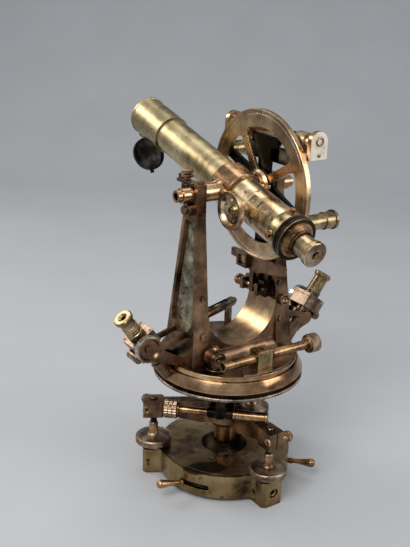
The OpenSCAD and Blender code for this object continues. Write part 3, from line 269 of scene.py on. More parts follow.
def old_metal(name, dark, main, light, rough, patch=26.0, grain=1.2, spots=None, bump=0.04, metallic=1.0, edge=0.35,
              wear=0.45, turned_on=None, japanned=None, stain=None):
    """Old metal. Clouds of patch mm choose between the dark, main and light tone, a grain of grain mm roughens it, and
    spots (size, threshold, colour) are places where the lacquer went. The shader rounds edges by edge mm and shows
    bare metal there, and painted shade from ambient occlusion darkens inner corners. turned_on (place, rotation) is
    a frame whose Z is the lathe's axis, for rings left by the tool. Above the height in japanned, in metres, the
    metal is black. stain (centre, degrees round Z, half sizes) is one dark ragged oval, in metres."""
    tree, coat, where = start(name)
    cloud = node(tree, "ShaderNodeTexNoise", {"Scale": 1000 / patch, "Detail": 5.0, "Roughness": 0.62},
                 {"Vector": where})
    fine = node(tree, "ShaderNodeTexNoise", {"Scale": 1000 / grain, "Detail": 3.0, "Roughness": 0.6}, {"Vector": where})
    mixed = node(tree, "ShaderNodeMath", {"operation": "MULTIPLY_ADD", 1: 0.16},
                 {0: fine.outputs["Fac"], 2: cloud.outputs["Fac"]})
    height = fine.outputs["Fac"]
    if turned_on:
        turns = [math.radians(v) for v in turned_on[1]]
        lathe = node(tree, "ShaderNodeMapping", {"vector_type": "TEXTURE", "Location": turned_on[0],
                                                 "Rotation": turns}, {"Vector": where})
        disc = node(tree, "ShaderNodeVectorMath", {"operation": "MULTIPLY", 1: (1.0, 1.0, 0.0)}, {0: lathe.outputs[0]})
        radius = node(tree, "ShaderNodeVectorMath", {"operation": "LENGTH"}, {0: disc.outputs[0]})
        along = node(tree, "ShaderNodeSeparateXYZ", links={0: lathe.outputs[0]})
        rings = node(tree, "ShaderNodeCombineXYZ", links={"X": radius.outputs["Value"], "Z": along.outputs["Z"]})
        # tool marks are 0.1 mm apart in fact and drawn at 0.9 mm, so that they show
        marks = node(tree, "ShaderNodeTexNoise", {"Scale": 1000 / 0.9, "Detail": 2.0}, {"Vector": rings.outputs[0]})
        height = marks.outputs["Fac"]
        mixed = node(tree, "ShaderNodeMath", {"operation": "MULTIPLY_ADD", 1: 0.22}, {0: height, 2: mixed.outputs[0]})
    # the grain and the rings add this much to the cloud's middle
    middle = 0.08 + (0.11 if turned_on else 0.0)
    shifted = node(tree, "ShaderNodeMath", {"operation": "SUBTRACT", 1: middle}, {0: mixed.outputs[0]})
    stops = [(0.33, linear(dark)), (0.49, tuple(main)), (0.68, linear(light))]
    tones = node(tree, "ShaderNodeValToRGB", {"stops": stops}, {"Fac": shifted.outputs[0]})
    colour = tones.outputs["Color"]
    rounded = node(tree, "ShaderNodeBevel", {"samples": 5, "Radius": edge * MM})
    true = node(tree, "ShaderNodeNewGeometry")
    bend = node(tree, "ShaderNodeVectorMath", {"operation": "DOT_PRODUCT"},
                {0: rounded.outputs[0], 1: true.outputs["Normal"]})
    rubbed = node(tree, "ShaderNodeMapRange", {"From Min": 0.99, "From Max": 0.86, "To Max": wear},
                  {"Value": bend.outputs["Value"]})
    bare = node(tree, "ShaderNodeMix", {"data_type": "RGBA", 7: (*linear(light), 1.0)},
                {0: rubbed.outputs[0], 6: colour})
    colour = bare.outputs[2]
    if spots:
        size, reach, spot = spots
        dots = node(tree, "ShaderNodeTexNoise", {"Scale": 1000 / size, "Detail": 4.0, "Roughness": 0.7},
                    {"Vector": where})
        mask = node(tree, "ShaderNodeMapRange", {"From Min": reach, "From Max": reach + 0.07},
                    {"Value": dots.outputs["Fac"]})
        stained = node(tree, "ShaderNodeMix", {"data_type": "RGBA", 7: (*linear(spot), 1.0)},
                       {0: mask.outputs[0], 6: colour})
        colour = stained.outputs[2]
    # painted shade: ambient occlusion darkens the colour in inner corners, creases and the grooves of knurls
    corner = node(tree, "ShaderNodeAmbientOcclusion", {"samples": 4, "Distance": 4 * MM})
    painted_shade = node(tree, "ShaderNodeMapRange", {"From Min": 0.25, "From Max": 0.75, "To Min": 0.45, "To Max": 1.0},
                {"Value": corner.outputs["AO"]})
    corner_shaded = node(tree, "ShaderNodeVectorMath", {"operation": "SCALE"}, {0: colour, "Scale": painted_shade.outputs[0]})
    colour = corner_shaded.outputs[0]
    if japanned:
        level = node(tree, "ShaderNodeSeparateXYZ", links={0: where})
        black = node(tree, "ShaderNodeMapRange", {"From Min": japanned, "From Max": japanned + 0.002},
                     {"Value": level.outputs["Z"]})
        ink = node(tree, "ShaderNodeMix", {"data_type": "RGBA", 7: (*linear("#17140f"), 1.0)},
                   {0: black.outputs[0], 6: colour})
        colour = ink.outputs[2]
    if stain:
        centre, degrees, size = stain
        oval = node(tree, "ShaderNodeMapping", {"vector_type": "TEXTURE", "Location": centre, "Scale": size,
                                                "Rotation": (0, 0, math.radians(degrees))}, {"Vector": where})
        far = node(tree, "ShaderNodeVectorMath", {"operation": "LENGTH"}, {0: oval.outputs[0]})
        ragged = node(tree, "ShaderNodeMath", {"operation": "ADD"}, {0: far.outputs["Value"], 1: mixed.outputs[0]})
        inside = node(tree, "ShaderNodeMapRange", {"From Min": 1.65, "From Max": 1.45, "To Max": 0.85},
                      {"Value": ragged.outputs[0]})
        blot = node(tree, "ShaderNodeMix", {"data_type": "RGBA", 7: (*linear("#1b1510"), 1.0)},
                    {0: inside.outputs[0], 6: colour})
        colour = blot.outputs[2]
    tree.links.new(colour, coat.inputs["Base Color"])
    coat.inputs["Metallic"].default_value = metallic
    spread = node(tree, "ShaderNodeMapRange", {"From Min": 0.35 + middle, "From Max": 0.65 + middle, "To Min": rough[0],
                                               "To Max": rough[1]}, {"Value": mixed.outputs[0]})
    tree.links.new(spread.outputs[0], coat.inputs["Roughness"])
    relief = node(tree, "ShaderNodeBump", {"Strength": 0.35, "Distance": bump * MM},
                  {"Height": height, "Normal": rounded.outputs[0]})
    tree.links.new(relief.outputs[0], coat.inputs["Normal"])


def plain(name, first, second, scale, rough, **sockets):
    """A material that isn't old metal: a noise mixes two tones and moves the roughness a little."""
    tree, coat, where = start(name)
    cloud = node(tree, "ShaderNodeTexNoise", {"Scale": scale, "Detail": 4.0}, {"Vector": where})
    tones = node(tree, "ShaderNodeValToRGB", {"stops": [(0.35, linear(first)), (0.65, linear(second))]},
                 {"Fac": cloud.outputs["Fac"]})
    tree.links.new(tones.outputs["Color"], coat.inputs["Base Color"])
    gloss = node(tree, "ShaderNodeMapRange", {"To Min": rough[0], "To Max": rough[1]}, {"Value": cloud.outputs["Fac"]})
    tree.links.new(gloss.outputs[0], coat.inputs["Roughness"])
    for socket, value in sockets.items():
        coat.inputs[socket.replace("_", " ")].default_value = value


def make_materials(s):
    """Every material of the instrument, from the settings s."""
    on_sight = ((0, 0, AXIS_Z * MM), (SIGHT_TILT - 90, 0, 0))
    on_cross = ((0, 0, AXIS_Z * MM), (0, 90, 0))
    on_plumb = ((0, 0, 0), (0, 0, 0))
    # Cast gunmetal whose lacquer has browned: dark copper brown with clouds, bright where hands rubbed its edges
    old_metal("browned gunmetal", "#3a2a20", s.gunmetal, "#a88668", rough=(0.22, 0.40), patch=28, grain=1.4,
              spots=(11.0, 0.66, "#2a2019"), bump=0.05)
    # Turned and polished gunmetal of the bevel and the axis: brighter and smoother, with rings of the tool
    old_metal("polished gunmetal", "#6a4e36", s.polished, "#d8b58c", rough=(0.12, 0.24), patch=34, grain=1.0,
              spots=(13.0, 0.72, "#453429"), bump=0.015, turned_on=on_plumb)
    old_metal("turned gunmetal of the axis", "#66503f", s.polished, "#cfb292", rough=(0.14, 0.28), patch=26,
              grain=1.0, spots=(9.0, 0.68, "#3c2d23"), bump=0.02, turned_on=on_cross)
    # Vertical circle: turned gunmetal that kept its gold lacquer, satin
    old_metal("lacquered circle", "#7e6347", s.circle, "#dcc19a", rough=(0.18, 0.34), patch=40, grain=1.0,
              spots=(16.0, 0.70, "#47331f"), bump=0.02, turned_on=on_cross)
    # Lacquered yellow brass tube, gone olive where the lacquer thinned
    old_metal("tarnished brass tube", "#6c5d41", s.tube, "#ccbd95", rough=(0.28, 0.42), patch=30, grain=1.0,
              spots=(15.0, 0.66, "#54472c"), bump=0.015, turned_on=on_sight)
    # Eyepiece half of the telescope: cleaned pale brass with dark brown stains
    old_metal("stained pale brass", "#78603f", s.pale_brass, "#e2d0ac", rough=(0.20, 0.32), patch=22, grain=0.9,
              spots=(18.0, 0.58, "#33241a"), bump=0.015, turned_on=on_sight)
    # Inside of the trough: filed and polished casting, satin gold with a broad highlight
    old_metal("polished trough", "#7c5c38", s.circle, "#e0c191", rough=(0.24, 0.36), patch=30, grain=1.0,
              spots=(15.0, 0.70, "#4c3826"), bump=0.015)
    # Small turned brass fittings, olive yellow and smooth
    old_metal("turned brass", "#52452e", s.brass, "#bba882", rough=(0.22, 0.36), patch=12, grain=0.8,
              spots=(8.0, 0.66, "#463924"), bump=0.015)
    # Cast brass gone olive brown, with dark patches
    old_metal("olive cast brass", "#3c3021", s.olive, "#ab9670", rough=(0.20, 0.38), patch=36, grain=1.3,
              spots=(17.0, 0.61, "#261d14"), bump=0.05, stain=((-0.046, -0.032, 0.0285), -24, (0.024, 0.012, 0.004)))
    # Grey brown bronze of the footscrews and micrometer boxes, silvery at its edges
    old_metal("dull bronze", "#48382c", s.dull, "#b9a48e", rough=(0.24, 0.42), patch=12, grain=1.0,
              spots=(6.0, 0.66, "#31261d"), bump=0.03, wear=0.6)
    # Knurled heads: gold brown, bright where the points of the knurl are worn, with painted shade dark between them
    old_metal("knurled bronze", "#4c3927", s.knob, "#cdb28b", rough=(0.22, 0.38), patch=10, grain=0.9,
              spots=(5.0, 0.68, "#31241a"), bump=0.02, wear=0.8)
    # Silver band let into a circle, bright and finely turned
    old_metal("silver band", "#a39d93", s.silver, "#e4e1da", rough=(0.2, 0.32), patch=12, grain=0.7, bump=0.01,
              wear=0.2)
    # Blackened bronze: the chemical black is worn to brown at its edges
    old_metal("blackened bronze", "#0d0c0c", s.blackened, "#4a3a29", rough=(0.28, 0.44), patch=18, grain=1.1,
              bump=0.03, wear=0.35)
    # Black lacquer of the dust cap, gone grey
    old_metal("greyed black lacquer", "#141413", s.blackened, "#4a4844", rough=(0.30, 0.46), patch=14, grain=1.0,
              bump=0.02, wear=0.2)
    # Iron index arm: black japan on its upper half, brown below
    old_metal("japanned index arm", "#44342a", s.gunmetal, "#9a7c60", rough=(0.26, 0.42), patch=22, grain=1.2,
              bump=0.04, wear=0.3, japanned=0.236)
    # Cast web that was left rough, a grey green under its worn paint
    old_metal("rough painted web", "#423e33", s.web, "#aaa48d", rough=(0.42, 0.62), patch=9, grain=0.9,
              spots=(3.5, 0.58, "#302b25"), bump=0.09, metallic=0.7, wear=0.2)
    # Copper coloured bronze of levers, rods and collars
    old_metal("copper coloured bronze", "#4e3a28", s.copper, "#c2a078", rough=(0.22, 0.36), patch=13, grain=0.8,
              spots=(7.0, 0.69, "#3e281b"), bump=0.02)
    # End plates of the level: pale cream lacquer, with a painted highlight lightening them to near white; the lacquer
    # hides half of the metal
    old_metal("cream plate with painted highlight", "#cfc0a0", s.cream, "#f4eee0", rough=(0.24, 0.34), patch=16, grain=0.8,
              spots=(6.0, 0.74, "#8d7a5c"), bump=0.01, metallic=0.4)
    # Crown glass of the objective and of the level vials, with a little dust
    plain("crown glass", "#dfe9e6", "#f2f6f4", 220.0, (0.01, 0.08), Transmission_Weight=1.0, IOR=1.52)
    # Eye lenses, which look dark because nothing lights the tube behind them
    plain("dark eye lens", "#0c1012", "#161c20", 160.0, (0.04, 0.10), IOR=1.52)
    # Silvered mirror gone dark with age
    plain("old silvered mirror", "#3d3f40", "#7d8082", 70.0, (0.05, 0.22), Metallic=1.0)
    # Black wax in engraved lines and joints, dull; the same black is put into holes and screw slots as painted shade
    plain("black wax and painted shade", "#0b0b0b", "#1e1c1a", 900.0, (0.5, 0.7))
    # Ivory behind the small window, yellowed
    plain("yellowed ivory", "#b9ad86", "#d8cfac", 300.0, (0.35, 0.5))
    # Bubble of a level, which looks like a pale bead in the spirit
    plain("spirit bubble", "#cfdac4", "#eef3e6", 400.0, (0.03, 0.08))


FINISH = {
    "browned gunmetal": ["alidade_plate", "standards", "tribrach", "clip_fork", "bracket_left", "bracket_right",
                         "upper_clamp", "standard_screws", "cap_left", "cap_right"],
    "turned gunmetal of the axis": ["transit_axis", "clip_screw_back"],
    "lacquered circle": ["vertical_circle", "altitude_level"],
    "tarnished brass tube": ["front_tube", "dew_cap"],
    "stained pale brass": ["rear_tube", "eyepiece", "focus_wheel"],
    "turned brass": ["focus_carriage", "circle_scope_front", "circle_scope_back", "ocular_left", "ocular_right"],
    "olive cast brass": ["foot_plate"],
    "dull bronze": ["footscrew_front", "footscrew_left", "footscrew_right", "horizontal_circle", "cover_plate",
                    "plate_level", "drum_left", "drum_right", "scope_left", "scope_right"],
    "knurled bronze": ["upper_tangent_screw", "tribrach_clamps", "cap_screw_left", "cap_screw_right"],
    "blackened bronze": ["locking_ring", "socket_drum", "lower_clamp_ring", "lower_yoke", "reticle_ring",
                         "clip_screw_front"],
    "greyed black lacquer": ["dust_cap"],
    "japanned index arm": ["index_arm"],
    "copper coloured bronze": ["lever_handles", "reticle_screws", "lower_tangent_screw", "lower_spring_box",
                               "lower_clamp_screw", "upper_tangent_block", "upper_clamp_screw"],
    "crown glass": ["objective_lens", "altitude_vial", "plate_vial"],
    "old silvered mirror": ["level_mirror"],
}


# Settings


def length(name, description, default, low, high):
    return FloatProperty(name=name, description=description, default=default, min=low, max=high, unit="LENGTH")


def tone(name, description, colour):
    return FloatVectorProperty(name=name, description=description, default=linear(colour), min=0, max=1, size=3,
                               subtype="COLOR")


class TheodoliteSettings(bpy.types.PropertyGroup):
    knurl_pitch: length("Knurl pitch", "Distance between two grooves on the slow motion heads", 0.0026, 0.001, 0.004)
    knurl_depth: length("Knurl depth", "Height of the knurl over its ground", 0.0008, 0.0002, 0.0009)
    milling_pitch: length("Milling pitch", "Distance between two straight grooves on a rim", 0.0015, 0.0008, 0.003)
    thread_pitch: length("Thread pitch", "Pitch of the footscrews' thread", 0.0012, 0.0005, 0.002)
    line_width: length("Line width", "Width of an engraved line", 0.00024, 0.0001, 0.0005)
    divisions: IntProperty(name="Drum divisions", description="Lines round a micrometer drum", default=60, min=20,
                           max=120)
    focal: FloatProperty(name="Lens", description="Focal length of the camera on a 36 mm high picture", default=56.7,
                         min=20, max=200)
    gunmetal: tone("Gunmetal", "Browned lacquer of the castings", "#705743")
    polished: tone("Polished gunmetal", "Bevel of the plate and transit axis", "#a5805c")
    circle: tone("Circle", "Gold lacquer of the vertical circle and the trough", "#a98969")
    tube: tone("Tube", "Objective half of the telescope", "#a89770")
    pale_brass: tone("Pale brass", "Eyepiece half of the telescope", "#bfa681")
    brass: tone("Brass", "Small turned fittings", "#8f7c5b")
    olive: tone("Foot plate", "Cast brass of the foot plate", "#937a52")
    dull: tone("Dull bronze", "Footscrews and micrometer boxes", "#7b6654")
    knob: tone("Knobs", "Knurled heads", "#917658")
    silver: tone("Silver", "Bands that carry the divisions", "#cbc6bc")
    blackened: tone("Black", "Chemically blackened parts", "#1d1916")
    web: tone("Webs", "Rough webs of the uprights", "#777160")
    copper: tone("Copper bronze", "Levers, rods and collars", "#8c6a4a")
    # the end plates' tone is their pale colour lightened as a painted highlight
    cream: tone("Cream plate and highlight", "End plates of the altitude level", "#e6ddc8")
    floor: tone("Floor", "Floor and backdrop", "#a8aaad")


class THEODOLITE_OT_finishes(bpy.types.Operator):
    """Makes the materials and puts them on the CAD nodes"""

    bl_idname = "theodolite.finishes"
    bl_label = "Finishes"

    def execute(self, context):
        make_materials(context.scene.theodolite)
        for finish, names in FINISH.items():
            for name in names:
                mesh = NODES[name].data
                mesh.materials.clear()
                mesh.materials.append(bpy.data.materials[finish])
        return {"FINISHED"}


class THEODOLITE_OT_base(bpy.types.Operator):
    """Thread of the tripod socket, ring on the deck, nuts in the lobes and rings on the tribrach's blocks"""

    bl_idname = "theodolite.base"
    bl_label = "Foot plate and tribrach"

    def execute(self, context):
        rest = moved()
        # coarse thread of the tripod socket, 2.2 mm pitch, as crests and roots of a zigzag; it is black both for its
        # black lacquer and as painted shade inside the bore
        crest = [(23.0 + 0.85 * (k % 2), 1.2 + 1.1 * k) for k in range(23)]
        piece("socket_thread", revolved([(24.02, 1.2)] + crest + [(24.02, 25.6)], 120), rest, "foot_plate",
              "blackened bronze", smooth=60, closed_ends=False)
        for name, r in (("deck_ring", 33.4), ("deck_line", 61.5)):
            line = [(r, 28.45), (r, 28.56), (r + 0.25, 28.62), (r + 0.6, 28.56), (r + 0.6, 28.45)]
            piece(name, revolved(line, 160), rest, "foot_plate", "dull bronze", closed_ends=False)
        for name, angle in FOOT_ANGLES.items():
            lobe = turned(angle, "Z") @ moved(0, 0, LOBE_Z) @ turned(90, "Y")
            nut = [(3.0, 80.0), (3.0, 83.0), (3.4, 83.6), (4.6, 83.6), (5.1, 83.2), (5.1, 80.0)]
            piece("lobe_nut_" + name, revolved(nut, 6), lobe, "foot_plate", "browned gunmetal", smooth=20,
                  closed_ends=False)
            # a black disc in the nut's bore: painted shade of the hole
            piece("lobe_hole_shade_" + name, revolved([(0, 81.0), (3.1, 81.0)], 32), lobe, "foot_plate", "black wax and painted shade",
                  closed_ends=False)
            side = 1 if name == "left" else -1
            block = turned(angle, "Z") @ moved(BLOCK_R, side * BLOCK_HALF, BLOCK_Z) @ turned(-90 * side, "X")
            ring = [(1.85, -0.4), (1.85, 0.1), (2.4, 0.55), (4.0, 0.45), (4.4, -0.05), (4.4, -0.4)]
            piece("block_ring_" + name, revolved(ring, 40), block, "foot_plate", "knurled bronze", closed_ends=False)
            # a black disc in the ring's bore: painted shade of the hole
            piece("block_hole_shade_" + name, revolved([(0, -0.1), (1.9, -0.1)], 32), block, "foot_plate",
                  "black wax and painted shade", closed_ends=False)
            top = turned(angle, "Z") @ moved(FOOT_R, 0, BLOCK_TOP)
            piece("stem_ring_" + name, revolved([(3.2, -0.1), (3.2, 0.12), (4.3, 0.12), (4.5, -0.1)], 40), top,
                  "foot_plate", "blackened bronze", closed_ends=False)
            # each lever's arm swells to a club, carried over the CAD arm's bead
            lever = (turned(LEVER_AZ + (angle + 90.0), "Z") @ moved(LEVER_R, 0, LOBE_Z)
                     @ turned(LEVER_SWEEP, "Z") @ turned(LEVER_DROP, "Y"))
            club = [(0, -3.2), (2.4, -2.6), (3.1, -0.6), (3.0, 0.8), (2.5, 2.6), (2.3, 4.5), (2.6, 9.0), (3.2, 14.0),
                    (3.9, 18.5), (4.35, 22.0), (4.3, 24.2), (3.6, 25.9), (2.0, 26.9), (0, 27.2)]
            piece("lever_club_" + name, revolved(club, 44), lever, "locking_ring", "copper coloured bronze", smooth=60,
                  closed_ends=False)
            knob_side = -1 if name == "left" else 1
            ball = turned(angle, "Z") @ moved(BLOCK_R, knob_side * 15.7, BLOCK_Z) @ turned(-90 * knob_side, "X")
            z = np.linspace(-4.2, 4.2, 22)
            round_knob = np.stack([np.sqrt(5.22 ** 2 - z ** 2), z], -1)
            piece("ball_milling_" + name, revolved(round_knob, 200, milled(26, 0.4)), ball, "foot_plate",
                  "knurled bronze", closed_ends=False)
        return {"FINISHED"}


class THEODOLITE_OT_footscrews(bpy.types.Operator):
    """Milled rims, threads and copper hubs of the three footscrews"""

    bl_idname = "theodolite.footscrews"
    bl_label = "Footscrews"

    def execute(self, context):
        s = context.scene.theodolite
        pitch = s.thread_pitch / MM
        for name, angle in FOOT_ANGLES.items():
            a = math.radians(angle)
            place = moved(FOOT_R * math.cos(a), FOOT_R * math.sin(a), 0)
            body = "screw_" + name
            knurled_head("disc_milling_" + name, place, body, 18.2, 31.9, 37.1, "dull bronze",
                         s.milling_pitch / MM, 0.4, True)
            dish = [(5.6, 40.3), (6.6, 40.0), (16.8, 38.12), (17.0, 38.3), (17.3, 38.12), (17.4, 37.9)]
            piece("disc_top_" + name, revolved(dish, 96), place, body, "knurled bronze", closed_ends=False)
            thread = [(3.1 + 0.3 * (k % 2), 54.0 + k * pitch / 2) for k in range(int(27 / pitch * 2))]
            piece("thread_" + name, revolved([(2.8, 53.8)] + thread + [(2.8, 81.2)], 40), place, body,
                  "blackened bronze", closed_ends=False)
            hub = [(4.2, 40.9), (5.6, 41.2), (4.75, 42.4), (4.6, 44.0), (4.6, 52.0), (4.0, 53.2)]
            piece("hub_" + name, revolved(hub, 48), place, body, "copper coloured bronze", closed_ends=False)
            piece("stem_dot_" + name, revolved([(0, 81.52), (1.5, 81.52), (1.5, 81.4)], 24), place, body,
                  "black wax and painted shade", closed_ends=False)
        return {"FINISHED"}


class THEODOLITE_OT_knobs(bpy.types.Operator):
    """Knurling on the clamp, tangent, cap and focusing screws' heads"""

    bl_idname = "theodolite.knobs"
    bl_label = "Knurled heads"

    def execute(self, context):
        s = context.scene.theodolite
        pitch, depth, fine = s.knurl_pitch / MM, s.knurl_depth / MM, s.milling_pitch / MM
        for side, x in (("left", -CAP_X), ("right", CAP_X)):
            place = moved(x, CAP_SCREW_Y, 312.0)
            for k, (z0, z1) in enumerate(((2.7, 4.5), (6.7, 9.5))):
                knurled_head("cap_knurl_%s_%d" % (side, k), place, "cap_screw_" + side, 5.4, z0, z1, "knurled bronze",
                             1.3, 0.3, True)
            screw_head("cap_hinge_" + side, moved(x, CAP_HINGE_Y, 314.7), 2.9, 0.5, "cap_" + side, "turned brass", 70.0)
            screw_head("cap_lug_" + side, moved(x, CAP_LUG_Y, 315.7), 2.8, 0.5, "cap_" + side, "turned brass", -20.0)
        upper = UPPER_SCREW @ moved(0, 0, 56)
        knurled_head("upper_knurl", upper, "upper_tangent_screw", 9.0, 1.9, 11.9, "dull bronze", pitch, depth)
        for k, z in enumerate((37.9, 42.1, 46.3)):
            knurled_head("lower_teeth_%d" % k, LOWER_SCREW, "lower_tangent_screw", 9.0, z, z + 3.5, "dull bronze",
                         2.6, 0.85, True)
        knurled_head("clamp_knurl", LOWER_CLAMP, "lower_clamp_screw", 7.5, 17.9, 21.9, "knurled bronze", pitch, depth)
        knurled_head("clip_knurl_back", CLIP_BACK, "clip_screw_back", 5.4, 20.3, 23.3, "copper coloured bronze",
                     1.3, 0.3, True)
        knurled_head("wheel_milling", FOCUS, "focus_wheel", 17.4, -31.3, -27.7, "knurled bronze", fine, 0.35, True)
        rim = [(17.42, -31.9), (17.0, -32.12), (15.5, -32.12), (14.3, -30.6)]
        piece("wheel_rim", revolved(rim, 96), FOCUS, "focus_wheel", "browned gunmetal", closed_ends=False)
        screw_head("wheel_nut", FOCUS @ moved(0, 0, -29.6) @ turned(180, "X"), 3.4, 0.7, "focus_wheel",
                   "copper coloured bronze")
        return {"FINISHED"}


class THEODOLITE_OT_telescope(bpy.types.Operator):
    """Bands, pinion cover, copper collar, screws and dark eye lens of the telescope"""

    bl_idname = "theodolite.telescope"
    bl_label = "Telescope trim"

    def execute(self, context):
        def ring(name, profile, finish, count=128):
            piece(name, revolved(profile, count), SIGHT, "telescope", finish, closed_ends=False)

        ring("rear_band", [(18.1, -87.9), (18.95, -87.9), (18.95, -77.6), (18.7, -77.2), (18.1, -77.2)], "turned brass")
        ring("copper_collar", [(10.6, -104.0), (12.04, -103.9), (12.04, -100.5), (15.1, -97.04), (17.0, -97.04),
                               (17.0, -96.9)], "copper coloured bronze", 96)
        ring("objective_ring", [(13.4, 132.0), (16.6, 132.0), (16.6, 133.2), (15.6, 133.6), (13.4, 132.4)],
             "blackened bronze", 96)
        for k, s in enumerate((-88.6, -96.4)):
            ring("reticle_edge_%d" % k, [(20.55, s - 0.3), (20.72, s - 0.22), (20.72, s + 0.22), (20.55, s + 0.3)],
                 "turned brass")
        # the sight frame's angles run from +X toward the ground, so upper places have negative angles
        piece("pinion_cover", saddle(18.15, 19.3, (-53.0, -40.5), (-146.0, -120.0)), SIGHT, "telescope", "turned brass")
        for name, s, phi, r in (("cover_screw", -46.5, -132.0, 2.4), ("collar_screw", -83.0, -128.0, 1.9),
                                ("side_screw", -30.0, -132.0, 1.3), ("front_screw", 104.0, -90.0, 1.2),
                                ("low_screw", -60.0, -35.0, 1.5)):
            lift = {"cover_screw": 19.2, "collar_screw": 18.9}.get(name, 18.05)
            place = SIGHT @ turned(phi, "Z") @ moved(lift, 0, s) @ turned(90, "Y")
            screw_head(name, place, r, 0.35, "telescope", "copper coloured bronze" if r < 2 else "turned brass")
        piece("eye_lens", revolved([(0, -118.2), (2.35, -118.2)], 40), SIGHT, "eyepiece", "dark eye lens",
              closed_ends=False)
        face = [(4.2, -123.42), (4.6, -123.6), (10.6, -123.6), (11.2, -123.3)]
        piece("eye_face", revolved(face, 64), SIGHT, "eyepiece", "dull bronze", closed_ends=False)
        return {"FINISHED"}


class THEODOLITE_OT_circles(bpy.types.Operator):
    """Silver bands of both circles, divisions of the vertical circle, and bands, divisions and dished faces of the
    micrometer drums
    """

    bl_idname = "theodolite.circles"
    bl_label = "Divided circles"

    def execute(self, context):
        s = context.scene.theodolite
        width = s.line_width / MM
        limb = [(60.5, 31.45), (60.5, 31.56), (69.5, 31.56), (69.5, 31.45)]
        piece("vertical_band", revolved(limb, 180), CROSS, "telescope", "silver band", closed_ends=False)
        height = (31.5, 31.6)
        degrees = lines_round(360, width, ((65.0, 69.0), height), ((63.4, 69.0), height))
        piece("vertical_divisions", degrees, CROSS, "telescope", "black wax and painted shade")
        bright = [(67.38, 27.3), (67.38, 26.94), (68.22, 26.94), (68.22, 27.3)]
        piece("circle_line", revolved(bright, 180), CROSS, "telescope", "silver band", closed_ends=False)
        edge = [(74.85, 116.5), (75.1, 116.55), (75.1, 116.95), (74.85, 117.0)]
        piece("limb_edge", revolved(edge, 180), moved(), "circle", "silver band", closed_ends=False)
        for side, scope in SCOPES.items():
            place = scope @ moved(*DRUM_AT) @ turned(90, "X")
            body = "drum_" + side
            ring = [(12.4, 1.7), (12.95, 1.7), (12.95, 6.8), (12.4, 6.8)]
            piece("drum_band_" + side, revolved(ring, 90), place, body, "silver band", closed_ends=False)
            depth = (12.8, 13.0)
            marks = lines_round(s.divisions, width, (depth, (3.0, 5.4)), (depth, (3.0, 6.4)))
            piece("drum_divisions_" + side, marks, place, body, "black wax and painted shade")
            dish = [(0, 7.06), (3.4, 6.66), (4.05, 4.44), (8.75, 5.06), (10.6, 7.64), (11.55, 7.64), (11.55, 7.5)]
            piece("drum_face_" + side, revolved(dish, 72), place, body, "browned gunmetal", closed_ends=False)
        return {"FINISHED"}


class THEODOLITE_OT_microscopes(bpy.types.Operator):
    """Dark tubes, box screws, slide joint and eye lenses of the microscopes"""

    bl_idname = "theodolite.microscopes"
    bl_label = "Microscopes"

    def execute(self, context):
        for side, scope in SCOPES.items():
            tube = [(6.9, 7.0), (7.06, 7.0), (7.06, 40.2), (6.9, 40.2)]
            piece("scope_tube_" + side, revolved(tube, 64), scope, "alidade", "browned gunmetal", closed_ends=False)
            for k, (x, y) in enumerate(((-9.6, -8.8), (-9.6, 8.8), (10.8, -8.8), (10.8, 8.8))):
                screw_head("box_screw_%s_%d" % (side, k), scope @ moved(x, y, 69.0), 1.5, 0.4, "alidade",
                           "turned brass", 40.0 * k)
            lid = [slab((-12.12, 13.12), (y0, y1), (65.2, 65.7)) for y0, y1 in ((-11.12, -10.9), (10.9, 11.12))]
            lid += [slab((x0, x1), (-11.12, 11.12), (65.2, 65.7)) for x0, x1 in ((-12.12, -11.9), (12.9, 13.12))]
            piece("box_joint_" + side, lid, scope, "alidade", "black wax and painted shade")
            rings = [(7.28, z + dz) if dr == 0 else (7.28 + dr, z + dz) for z in (77.2, 80.0, 82.8)
                     for dr, dz in ((0, -0.5), (0.35, -0.3), (0.35, 0.3), (0, 0.5))]
            piece("ocular_rings_" + side, revolved(rings, 64), scope, "ocular_" + side, "turned brass",
                  closed_ends=False)
            piece("ocular_lens_" + side, revolved([(0, 90.4), (2.3, 90.4)], 32), scope, "ocular_" + side,
                  "dark eye lens", closed_ends=False)
        for name, turn in (("front", 201.0), ("back", 21.0)):
            place = moved(0, 0, AXIS_Z) @ turned(turn, "X") @ moved(32.5, 66.1, 0) @ turned(90, "Y")
            piece("circle_lens_" + name, revolved([(0, 35.2), (2.35, 35.2)], 32), place, "index_arm", "dark eye lens",
                  closed_ends=False)
            ring = [(8.1, 24.2), (8.45, 24.4), (8.45, 26.0), (8.1, 26.2)]
            piece("circle_scope_ring_" + name, revolved(ring, 64), place, "index_arm", "copper coloured bronze",
                  closed_ends=False)
        return {"FINISHED"}


